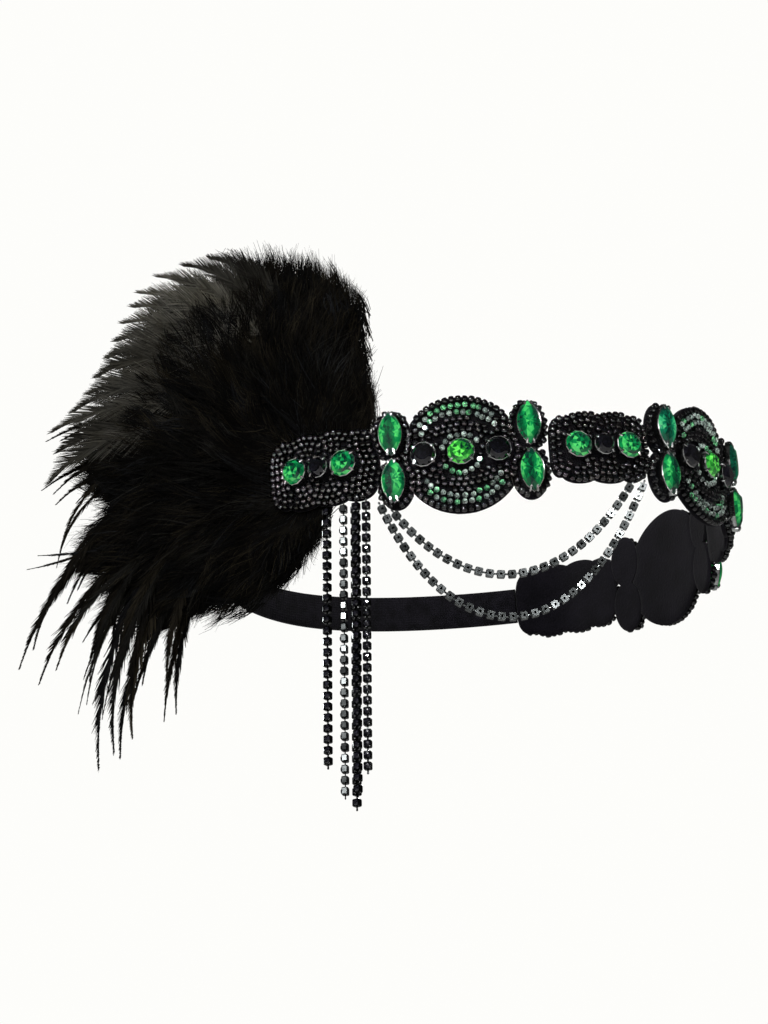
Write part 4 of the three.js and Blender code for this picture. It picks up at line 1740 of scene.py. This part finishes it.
@dataclass
class Plume:
    """Black feathers that fan out from behind the right end panel."""

    rearward: float = 0.005
    splay: float = math.radians(12)
    bulge: float = 0.013
    root_depth: float = -0.001
    felt_room: float = 0.0005
    panel_room: float = 0.0012
    rise: float = 0.8
    splay_from: float = 0.0145
    splay_over: float = 0.014
    soft_depth: float = 0.003
    rim_depth: float = 0.007
    near_side: float = 1.0
    far_side: float = -0.62
    shortest: float = 0.008
    stem: float = 0.00034
    hair: float = 0.00012
    root: np.ndarray = field(init=False, repr=False)
    rear: np.ndarray = field(init=False, repr=False)
    normal: np.ndarray = field(init=False, repr=False)

    def __post_init__(self) -> None:
        """Works out the plume's own axes."""
        at = END_AT + self.rearward
        along, out = (a[0] for a in RING.directions(np.array([at])))
        self.root = RING.place(at, 0.0, self.root_depth)
        self.rear = along * math.cos(self.splay) + out * math.sin(self.splay)
        self.normal = out * math.cos(self.splay) - along * math.sin(self.splay)

    def reach(self, angle: np.ndarray) -> np.ndarray:
        """Returns how far the dense part reaches at angles in degrees."""
        return np.interp(angle, OUTLINE[:, 0], OUTLINE[:, 1]) / 1000

    def panel_edge(self, angle: np.ndarray) -> np.ndarray:
        """Works out about how far the end panel covers the plume.

        Args:
            angle: Angles in degrees.

        Returns:
            The distances from the plume's root.
        """
        a = np.radians(angle)
        c, s = np.cos(a), np.sin(a)
        half = SIZES.end_width / 2
        wide = np.where(c > 0, half - self.rearward, half + self.rearward)
        return 1 / ((np.abs(c) / wide) ** 4 + (np.abs(s) / (SIZES.end_height / 2)) ** 4) ** 0.25

    def fullness(self, angle: np.ndarray, distance: np.ndarray) -> np.ndarray:
        """Works out how thick the plume is at places in its fan.

        Args:
            angle: Angles in degrees.
            distance: Distances from the root.

        Returns:
            The thickness to one side.
        """
        reach, edge = self.reach(angle), self.panel_edge(angle)
        share = np.clip((distance - edge) / np.maximum(reach - edge, 0.005), 0, 1)
        swell = np.interp(share, *SWELL_OUTWARD)
        sides = np.interp(angle, *SWELL_ROUND)
        return self.bulge * swell * sides

    def to_world(self, points: np.ndarray) -> np.ndarray:
        """Turns places in the fan into points of the worn band, round the ring first, then splayed.

        Args:
            points: The places as x, z and depth.

        Returns:
            The points.
        """
        x, z, depth = np.moveaxis(points, -1, 0)
        angle, distance = fan_place(x, z)
        clear = np.maximum(distance - self.panel_edge(angle) - self.panel_room, 0.0)
        depth = np.minimum(depth, self.felt_room + clear * self.rise)
        banded = RING.place(END_AT + self.rearward + x, z, depth + self.root_depth)
        splayed = self.root + self.rear * x[..., None] + Z * z[..., None] + self.normal * depth[..., None]
        share = smooth((x - self.splay_from) / self.splay_over)[..., None]
        return RING.lifted(banded * (1 - share) + splayed * share)

    def kept_in(self, points: np.ndarray, stray: float) -> np.ndarray:
        """Bends what would stray past the fan's outline or thickness back towards it.

        Args:
            points: Places as x, z and depth.
            stray: About how far they may pass the outline.

        Returns:
            The places, kept in.
        """
        x, z, depth = points.T
        angle, distance = fan_place(x, z)
        reach = self.reach(angle)
        over = np.maximum(distance - reach, 0.0)
        held = (reach + stray * (1 - np.exp(-over / stray))) / np.maximum(distance, 1e-6)
        scale = np.where(over > 0, held, 1.0)
        full = self.fullness(angle, np.minimum(distance, reach)) + 0.002
        soft, low = self.soft_depth, -0.7 * full
        high = np.minimum(depth, full + soft * np.tanh(np.maximum(depth - full, 0) / soft))
        depth = np.maximum(high, low - soft * np.tanh(np.maximum(low - high, 0) / soft))
        return np.stack([x * scale, z * scale, depth], axis=1)

    def feather(
        self, parts: MeshParts, kind: FeatherKind, base: Place, tip: Place, bow: float,
        tint: np.ndarray, rng: np.random.Generator, scale: float = 1.0, stray: float = 0.0
    ) -> None:
        """Grows one feather between two places of the fan.

        Args:
            parts: The mesh to add to.
            kind: How it grows.
            base: Its root as x, z and depth.
            tip: Its tip as x, z and depth.
            bow: How far its shaft bows sideways, as a share of its length.
            tint: Its colour.
            rng: The source of its differences.
            scale: The size of its barbs.
            stray: How far its barbs may pass the fan's outline, where they are held in.
        """
        a, b = np.array(base), np.array(tip)
        span = float(np.linalg.norm(b - a))
        forward = (b - a) / span
        side = unit(np.array([-forward[1], forward[0], 0.0]))
        lift = np.cross(forward, side)
        if lift[2] < 0:
            lift = -lift

        def shaft(t: np.ndarray) -> np.ndarray:
            """Returns points of the shaft at shares of its length."""
            sway, rise = (bow * span) * (t * (1 - t) * 4), 0.1 * span * t * (1 - t)
            return a + (b - a) * t[:, None] + side * sway[:, None] + lift * rise[:, None]

        count, ragged, curl = kind.barbs, kind.ragged, kind.curl
        t = kind.bare + (1 - kind.bare) * (np.arange(count) + rng.random(count)) / count
        way = np.where(np.arange(count) % 2 == 0, 1.0, -1.0)
        rooted = np.minimum(1.0, (t - kind.bare + 0.06) / 0.16)
        profile = rooted * (1 - smooth((t - 0.55) / 0.45) * kind.point * 0.8)
        length = kind.barb_length * scale * profile * rng.normal(1, ragged, count).clip(0.25, 1.7)
        spread = (kind.spread + (kind.tip_spread - kind.spread) * t) * rng.normal(1, 0.22, count)
        heading = (forward * np.cos(spread)[:, None] + side * (way * np.sin(spread))[:, None]
                   + lift * rng.normal(0, curl, count)[:, None])
        heading = unit(heading)
        drift = forward * kind.bend + rng.normal(0, curl * 0.6, (count, 3))
        steps = np.linspace(0, 1, kind.segments + 1)
        line = (shaft(t)[:, None] + heading[:, None] * (length[:, None] * steps)[..., None]
                + drift[:, None] * (length[:, None] * steps**2 * 0.6)[..., None])
        direction = unit(np.gradient(line, axis=1))
        flat = unit(np.cross(direction, lift + rng.normal(0, 0.5, (count, 1, 3))))
        narrowing = (1 - 0.82 * steps)[None, :, None]
        widths = kind.width * scale**0.5 * narrowing * rng.uniform(0.7, 1.3, (count, 1, 1))
        points = np.stack([line - flat * widths, line + flat * widths], axis=2).reshape(-1, 3)
        if stray:
            points = self.kept_in(points, stray)
        shade = tint * rng.uniform(0.6, 1.5, (count, 1))
        # Painted shade: barbs are darker towards their roots, deeper in the plume, and lighter at their tips
        root_painted_shade = 1 + 0.5 * steps[None, :, None, None]
        tints = np.broadcast_to(shade[:, None, None, :] * root_painted_shade, (count, len(steps), 2, 3)).reshape(-1, 3)
        parts.add(self.to_world(points), ribbon_faces(count, kind.segments), tints)
        ts = np.linspace(0, 0.97, 9)
        spine = shaft(ts)
        thick = self.stem * (1 - 0.8 * ts)[:, None]
        ring = np.stack([spine + way * thick for way in (side, lift, -side, -lift)], axis=1)
        parts.add(self.to_world(ring.reshape(-1, 3)), grid_faces(len(ts), 4), tint * 1.3)

    def tint(self, rng: np.random.Generator, grey: float = 0.0) -> np.ndarray:
        """Chooses a feather's near-black colour, warm, olive or faintly blue.

        Args:
            rng: The source of the choice.
            grey: How much lighter it is.

        Returns:
            The colour.
        """
        level = 0.001 + 0.01 * rng.random() ** 2.4 + grey
        draw = rng.random()
        warm, olive, blue = (1.15, 1.0, 0.68), (1.0, 1.02, 0.95), (0.85, 0.95, 1.15)
        return level * np.array(warm if draw < 0.6 else olive if draw < 0.85 else blue)

    def polar(self, angle: float, distance: float, depth: float) -> Place:
        """Returns x, z and depth of a place in the fan from its angle in degrees and distance."""
        a = math.radians(angle)
        return distance * math.cos(a), distance * math.sin(a), depth

    def core(self, material: bpy.types.Material) -> bpy.types.Object:
        """Makes the dark mass that the feathers' roots close up.

        Args:
            material: The feathers' material.

        Returns:
            The core, which stands for the plume's node.
        """
        angles = np.linspace(-90, 138, 96)[:, None]
        shares = np.linspace(0, 1, 15)
        rng = np.random.default_rng(11)
        wobble = rng.normal(0, 1, (len(angles), len(shares)))
        reach = self.reach(angles) * (0.88 + 0.035 * rng.normal(0, 1, angles.shape))
        distance = shares * reach
        a = np.radians(angles)
        quads = grid_faces(len(angles), len(shares), wrap_columns=False)
        parts = MeshParts()
        for side, full, faces in ((1, 0.5, quads), (-1, 0.38, quads[:, ::-1])):
            depth = side * full * self.fullness(angles, distance) + 0.0006 * wobble * (shares > 0.3)
            depth = np.where(distance < self.panel_edge(angles) * 1.02, -0.0001, depth)
            depth[:, -1] = 0.0
            sheet = self.to_world(np.stack([distance * np.cos(a), distance * np.sin(a), depth], axis=-1))
            parts.add(sheet, faces, np.array([0.0012, 0.0011, 0.001]))
        return settle(parts.build("plume_core", [material]), ["feather_plume"])

    def down(self, name: str, seed: int, low: float, high: float, count: int) -> bpy.types.Object:
        """Makes the downy feathers of one part of the fan.

        Args:
            name: The piece's name.
            seed: Its random seed.
            low: The lowest angle in degrees.
            high: The highest.
            count: How many feathers it has.

        Returns:
            The piece.
        """
        rng = np.random.default_rng(seed)
        parts = MeshParts()
        near, far = self.near_side, self.far_side
        for k in range(count):
            angle = rng.uniform(low, high)
            reach = float(self.reach(np.array([angle]))[0])
            edge = float(self.panel_edge(np.array([angle]))[0])
            inner = reach - self.rim_depth
            if k % 3 == 0:
                tip = inner - rng.uniform(0.0, 0.005)
            else:
                tip = edge + (inner - edge) * math.sqrt(rng.uniform(0.1, 1))
            base = max(tip - rng.uniform(0.026, 0.042), 0.55 * edge)
            away = rng.uniform(far, near) if rng.random() < 0.4 else near if rng.random() < 0.62 else far
            full = self.fullness(np.array([angle, angle]), np.array([tip, base]))
            lean = rng.normal(0, 5)
            start = self.polar(angle + lean, base, -0.0004 + away * 0.8 * float(full[1]))
            end = self.polar(angle, tip, away * float(full[0]))
            if math.dist(start, end) < self.shortest:
                continue
            kind = WISP if angle < -45 or rng.random() < 0.15 else MARABOU
            size = min(1.0, 0.35 + (tip - edge) / 0.03)
            self.feather(parts, kind, start, end, rng.normal(0, 0.08), self.tint(rng), rng, size, 0.004)
        return settle(parts.build(name, [FEATHER]))

    def tufts(self, name: str, seed: int, low: float, high: float, count: int) -> bpy.types.Object:
        """Makes the soft tufts of fine barbs that lie over one part of the fan and form its edge.

        Args:
            name: The piece's name.
            seed: Its random seed.
            low: The lowest angle in degrees.
            high: The highest.
            count: How many tufts it has.

        Returns:
            The piece.
        """
        rng = np.random.default_rng(seed)
        hairs, steps = 34, 4
        shape = (count, hairs)
        angle = rng.uniform(low, high, count)
        reach, edge = self.reach(angle), self.panel_edge(angle)
        at_rim = np.arange(count) % 5 < 2
        inner = edge + (reach - 0.003 - edge) * np.sqrt(rng.uniform(0.08, 1, count))
        tip = np.where(at_rim, reach + rng.normal(-0.0005, 0.0014, count), inner)
        size = rng.uniform(0.011, 0.02, count)
        size = tip - np.maximum(tip - size, 0.5 * edge)
        lean = np.radians(rng.normal(0, 13, count) + np.where(angle > 95, -6, 6))
        rim_side = rng.uniform(-0.6, 0.9, count)
        side = np.where(at_rim, rim_side, np.where(rng.random(count) < 0.78, self.near_side, self.far_side))
        t = np.linspace(0, 1, steps + 1)
        out = np.radians(angle)
        head = out + lean
        heading = np.stack([np.cos(head), np.sin(head)], axis=1)
        across = np.stack([-heading[:, 1], heading[:, 0]], axis=1)
        end = tip[:, None] * np.stack([np.cos(out), np.sin(out)], axis=1)
        root = rng.uniform(-1, 1, shape)
        late = rng.uniform(0, 0.45, shape)
        long = rng.normal(1, 0.16, shape).clip(0.5, 1.35) * np.where(at_rim, 1.0, 0.92)[:, None]
        width = rng.uniform(0.0016, 0.0032, count)[:, None]
        fan = rng.uniform(0.1, 0.9, count)[:, None]
        along = size[:, None, None] * (long[..., None] * t + late[..., None] * (1 - t) - 1)
        bow = (rng.normal(0, 0.13, count)[:, None] + rng.normal(0, 0.05, shape))[..., None]
        ripple = rng.normal(0, 0.0002, (*shape, 1))
        ripple = ripple * np.sin(2 * math.pi * t * rng.uniform(0.7, 1.6, (count, 1, 1)))
        slide = (root * width)[..., None] * (1 - t + fan[..., None] * t)
        slide = slide + bow * size[:, None, None] * (t - t**2) * 2
        slide = slide + rng.normal(0, 0.0007, shape)[..., None] * t + ripple
        spot = end[:, None, None] + heading[:, None, None] * along[..., None]
        spot = spot + across[:, None, None] * slide[..., None]
        where, far = fan_place(spot[..., 0], spot[..., 1])
        full = self.fullness(where, np.minimum(far, self.reach(where)))
        lift = rng.uniform(-0.0012, 0.0022, (*shape, 1)) * np.sin(math.pi * t * 0.8) + 0.0006
        depth = side[:, None, None] * (full * rng.uniform(0.8, 1.0, (count, 1, 1)) + lift)
        line = np.concatenate([spot, depth[..., None]], axis=-1)
        direction = unit(np.gradient(line, axis=2))
        flat = unit(np.cross(direction, Z + rng.normal(0, 0.5, (*shape, 1, 3))))
        thick = rng.uniform(0.7, 1.4, (*shape, 1, 1)) * self.hair * (1 - 0.72 * t)[:, None]
        edges = np.stack([line - flat * thick, line + flat * thick], axis=3).reshape(-1, 3)
        own = np.stack([self.tint(rng) for _ in range(count)])[:, None]
        shade = own * rng.uniform(0.4, 1.7, (*shape, 1))
        # Painted shade: hairs are much darker towards their roots, deep in the mass, and lighter at their tips
        root_painted_shade = (0.35 + 0.9 * t)[:, None, None]
        tints = np.broadcast_to(shade[:, :, None, None] * root_painted_shade, (*shape, steps + 1, 2, 3)).reshape(-1, 3)
        parts = MeshParts()
        parts.add(self.to_world(edges), ribbon_faces(count * hairs, steps), tints)
        return settle(parts.build(name, [FEATHER]))

    def hackles(self) -> bpy.types.Object:
        """Makes the long pointed feathers at the back and below.

        Returns:
            The piece.
        """
        rng = np.random.default_rng(71)
        parts = MeshParts()
        for start_angle, start_reach, angle, reach, bow, size in LANCES:
            for k in range(2):
                turn = angle + (rng.normal(0, 0.9) if k else 0.0)
                end = reach * (1 - 0.06 * k * rng.uniform(0.6, 1.4)) / 1000
                depth = rng.uniform(-0.003, 0.006)
                first = self.polar(start_angle + rng.normal(0, 1.0), start_reach / 1000, depth + 0.003)
                last = self.polar(turn, end, depth)
                own_bow, tint = bow + rng.normal(0, 0.01), self.tint(rng, 0.002)
                own_size = size * rng.uniform(0.9, 1.05)
                self.feather(parts, LANCE, first, last, own_bow, tint, rng, own_size)
        return settle(parts.build("long_pointed_feathers", [FEATHER]))

    def broad(self) -> bpy.types.Object:
        """Makes the broad greyish feathers at the upper back of the fan.

        Returns:
            The piece.
        """
        rng = np.random.default_rng(37)
        parts = MeshParts()
        root = 0.046
        for start_angle, angle, reach, grey in BROAD:
            ends = np.array([angle, start_angle], float), np.array([reach / 1000, root])
            full = self.fullness(*ends)
            start = self.polar(start_angle, root, 0.95 * float(full[1]))
            end = self.polar(angle, reach / 1000, 0.9 * float(full[0]) + 0.002)
            tint = (0.004 + 0.75 * grey) * np.array([1.0, 1.0, 0.94])
            bow, size = rng.normal(0.1, 0.02), rng.uniform(0.7, 0.9)
            self.feather(parts, COQUE, start, end, bow, tint, rng, size)
        return settle(parts.build("broad_grey_feathers", [FEATHER]))


# Stage, light and camera

# Soft lights: name, azimuth, elevation, distance, width and height, and power
SOFTBOXES = (
    ("key_softbox", -85, 30, 1.0, (0.5, 0.35), 5.0),
    ("fill_softbox", -20, 15, 1.1, (0.35, 0.5), 2.5),
    ("top_softbox", -60, 75, 0.9, (0.6, 0.6), 3.5),
    ("back_softbox", 130, 35, 1.1, (0.5, 0.5), 3.0),
)

# Small lights that only make highlights: name, azimuth, elevation, distance, width and power
SPARKS = (
    ("upper_spark", -84, 14, 1.2, 0.07, 30.0),
    ("front_spark", -34, 10, 1.2, 0.05, 6.0),
    ("low_spark", -66, -42, 1.1, 0.06, 3.0),
    ("rear_spark", 120, 20, 1.2, 0.08, 6.0),
)


def facing(azimuth: float, elevation: float) -> Vector:
    """Returns the direction at an angle round the band from its front and an angle above it."""
    flat = math.cos(elevation)
    return Vector((math.sin(azimuth) * flat, -math.cos(azimuth) * flat, math.sin(elevation)))


@dataclass(frozen=True)
class Studio:
    """The pale surroundings, the soft lights and the camera at the photograph's angle."""

    azimuth: float = math.radians(-60.57)
    elevation: float = math.radians(-17.625)
    roll: float = math.radians(-0.738)
    distance: float = 2.0
    focal_pixels: float = 6189.25
    image_height: float = 1024.0
    aim_right: float = -0.02586
    aim_up: float = 0.00704
    floor_level: float = -0.80
    backdrop: float = 1.0
    ambient: float = 0.3
    gloss: float = 0.05
    pale: tuple[float, float, float] = (0.985, 0.983, 0.96)
    floor_glow: tuple[float, float, float] = (0.66, 0.66, 0.645)
    floor_half: float = 4.0

    def axes(self) -> tuple[Vector, Vector, Vector]:
        """Works out how the camera stands.

        Returns:
            Its directions to the back, right and up.
        """
        back = facing(self.azimuth, self.elevation)
        right = Vector((math.cos(self.azimuth), math.sin(self.azimuth), 0))
        up = back.cross(right)
        c, s = math.cos(self.roll), math.sin(self.roll)
        return back, right * c + up * s, up * c - right * s

    def camera(self) -> None:
        """Makes the camera."""
        back, right, up = self.axes()
        data = bpy.data.cameras.new("camera")
        data.sensor_width = 36.0
        data.lens = self.focal_pixels * data.sensor_width / self.image_height
        data.clip_start, data.clip_end = 0.05, 50.0
        camera = new_object("camera", data)
        at = back * self.distance
        look = (at - (right * self.aim_right + up * self.aim_up)).normalized()
        side = up.cross(look).normalized()
        turn = Matrix((side, look.cross(side), look)).transposed().to_4x4()
        camera.matrix_world = Matrix.Translation(at) @ turn
        bpy.context.scene.camera = camera

    def world(self) -> None:
        """Makes the pale surroundings, brighter to the camera than as light."""
        world = bpy.data.worlds.new("pale_studio")
        world.use_nodes = True
        bpy.context.scene.world = world
        tree = world.node_tree
        path = add_node(tree, "LightPath").outputs
        dim = add_node(tree, "MapRange", {"Value": path["Is Glossy Ray"], "To Min": self.ambient,
                                          "To Max": self.gloss})
        level = add_node(tree, "MapRange", {"Value": path["Is Camera Ray"], "To Min": dim.outputs["Result"],
                                            "To Max": self.backdrop})
        ground = tree.nodes["Background"]
        feed(ground, {"Color": (*self.pale, 1), "Strength": level.outputs["Result"]})

    def floor(self) -> None:
        """Makes the pale floor far below the band, as the photograph looks up at it."""
        material, shader = new_material("pale_floor")
        tree = material.node_tree
        drift = add_node(tree, "Group", node_tree=DRIFT)
        feed(drift, {"Shade": (0.82, 0.82, 0.81, 1), "Other Shade": (0.86, 0.86, 0.85, 1), "Scale": 3.0})
        path = add_node(tree, "LightPath")
        glows = {"Factor": path.outputs["Is Camera Ray"], "A": (0, 0, 0, 1), "B": (*self.floor_glow, 1)}
        glow = add_node(tree, "Mix", glows, data_type="RGBA")
        feed(shader, {"Base Color": drift.outputs["Color"], "Roughness": 0.9,
                      "Emission Color": glow.outputs["Result"], "Emission Strength": 1.0})
        mesh = bpy.data.meshes.new("floor")
        w, z = self.floor_half, self.floor_level
        mesh.from_pydata([(-w, -w, z), (w, -w, z), (w, w, z), (-w, w, z)], [], [(0, 1, 2, 3)])
        mesh.materials.append(material)
        new_object("floor", mesh)

    def light(
        self, name: str, azimuth: float, elevation: float, far: float, size: tuple[float, float],
        power: float, spark: bool = False
    ) -> None:
        """Makes a light that faces the band.

        Args:
            name: The light's name.
            azimuth: Its angle round the band in degrees, from the front.
            elevation: Its angle above the band in degrees.
            far: Its distance.
            size: Its width and height.
            power: Its power in watts.
            spark: Whether it only makes highlights; the others make none.
        """
        data = bpy.data.lights.new(name, "AREA")
        data.shape = "RECTANGLE"
        data.size, data.size_y = size
        data.energy = power
        obj = new_object(name, data)
        way = facing(math.radians(azimuth), math.radians(elevation))
        obj.location = way * far
        obj.rotation_euler = way.to_track_quat("Z", "Y").to_euler()
        obj.visible_diffuse = not spark
        obj.visible_glossy = spark

    def build(self) -> None:
        """Makes everything round the band."""
        bpy.context.scene.view_settings.view_transform = "Standard"
        self.camera()
        self.world()
        self.floor()
        for name, azimuth, elevation, far, size, power in SOFTBOXES:
            self.light(name, azimuth, elevation, far, size, power)
        for name, azimuth, elevation, far, width, power in SPARKS:
            self.light(name, azimuth, elevation, far, (width, width), power, spark=True)


# The whole headband


def list_units() -> list[BeadedUnit]:
    """Lists the band's thirteen units.

    Returns:
        The units, the front medallion first and then each side from its end panel forward.
    """
    units = [BeadedUnit(UnitKind.MEDALLION, "medallion_front", 0.0)]
    rows = [(UnitKind.END, "", END_AT), (UnitKind.PAIR, "_1", PAIR_ONE_AT),
            (UnitKind.MEDALLION, "", MEDALLION_AT), (UnitKind.PAIR, "_2", PAIR_TWO_AT),
            (UnitKind.SCALLOPED, "", SCALLOP_AT), (UnitKind.PAIR, "_3", SIZES.medallion_step)]
    for side, mirror in (("right", 1), ("left", -1)):
        for kind, number, at in rows:
            units.append(BeadedUnit(kind, f"{kind.value}_{side}{number}", mirror * at, mirror))
    return units


def main() -> None:
    """Builds the headband piece by piece."""
    logging.basicConfig(level=logging.INFO, format="%(message)s")
    Studio().build()
    units = list_units()
    named = {u.name: u for u in units}
    setter = StoneSetter()
    for number, owner in enumerate(units):
        rng = np.random.default_rng(1000 + number)
        owner.felt(FELT)
        beads, crystals = owner.layout()
        owner.seed_beads(beads, rng)
        if len(crystals):
            owner.crystals(crystals, rng)
        for stone in owner.stones():
            setter.set_stone(owner, stone, rng)
    ElasticStrap().build(RibbedElastic().material())
    chain = CupChain()
    for number, row in enumerate(STRANDS, start=1):
        chain.fringe(named["end_panel_right"], number, row, np.random.default_rng(200 + number))
    pair, panel = named["navette_pair_right_1"], named["scalloped_panel_right"]
    for name, start, end, spare in SWAGS:
        first = chain.hang_point(pair, start * SIZES.lobe_half_width, SIZES.felt)
        last = chain.hang_point(panel, end * SIZES.scallop_width / 2, SIZES.felt)
        chain.swag(first, last, spare, name, np.random.default_rng(300 + len(name)))
    plume = Plume()
    plume.core(FEATHER)
    for name, *rest in DOWN:
        plume.down(f"downy_feathers_{name}", *rest)
    for name, *rest in TUFTS:
        plume.tufts(f"soft_tufts_{name}", *rest)
    plume.hackles()
    plume.broad()


if __name__ == "__main__":
    main()
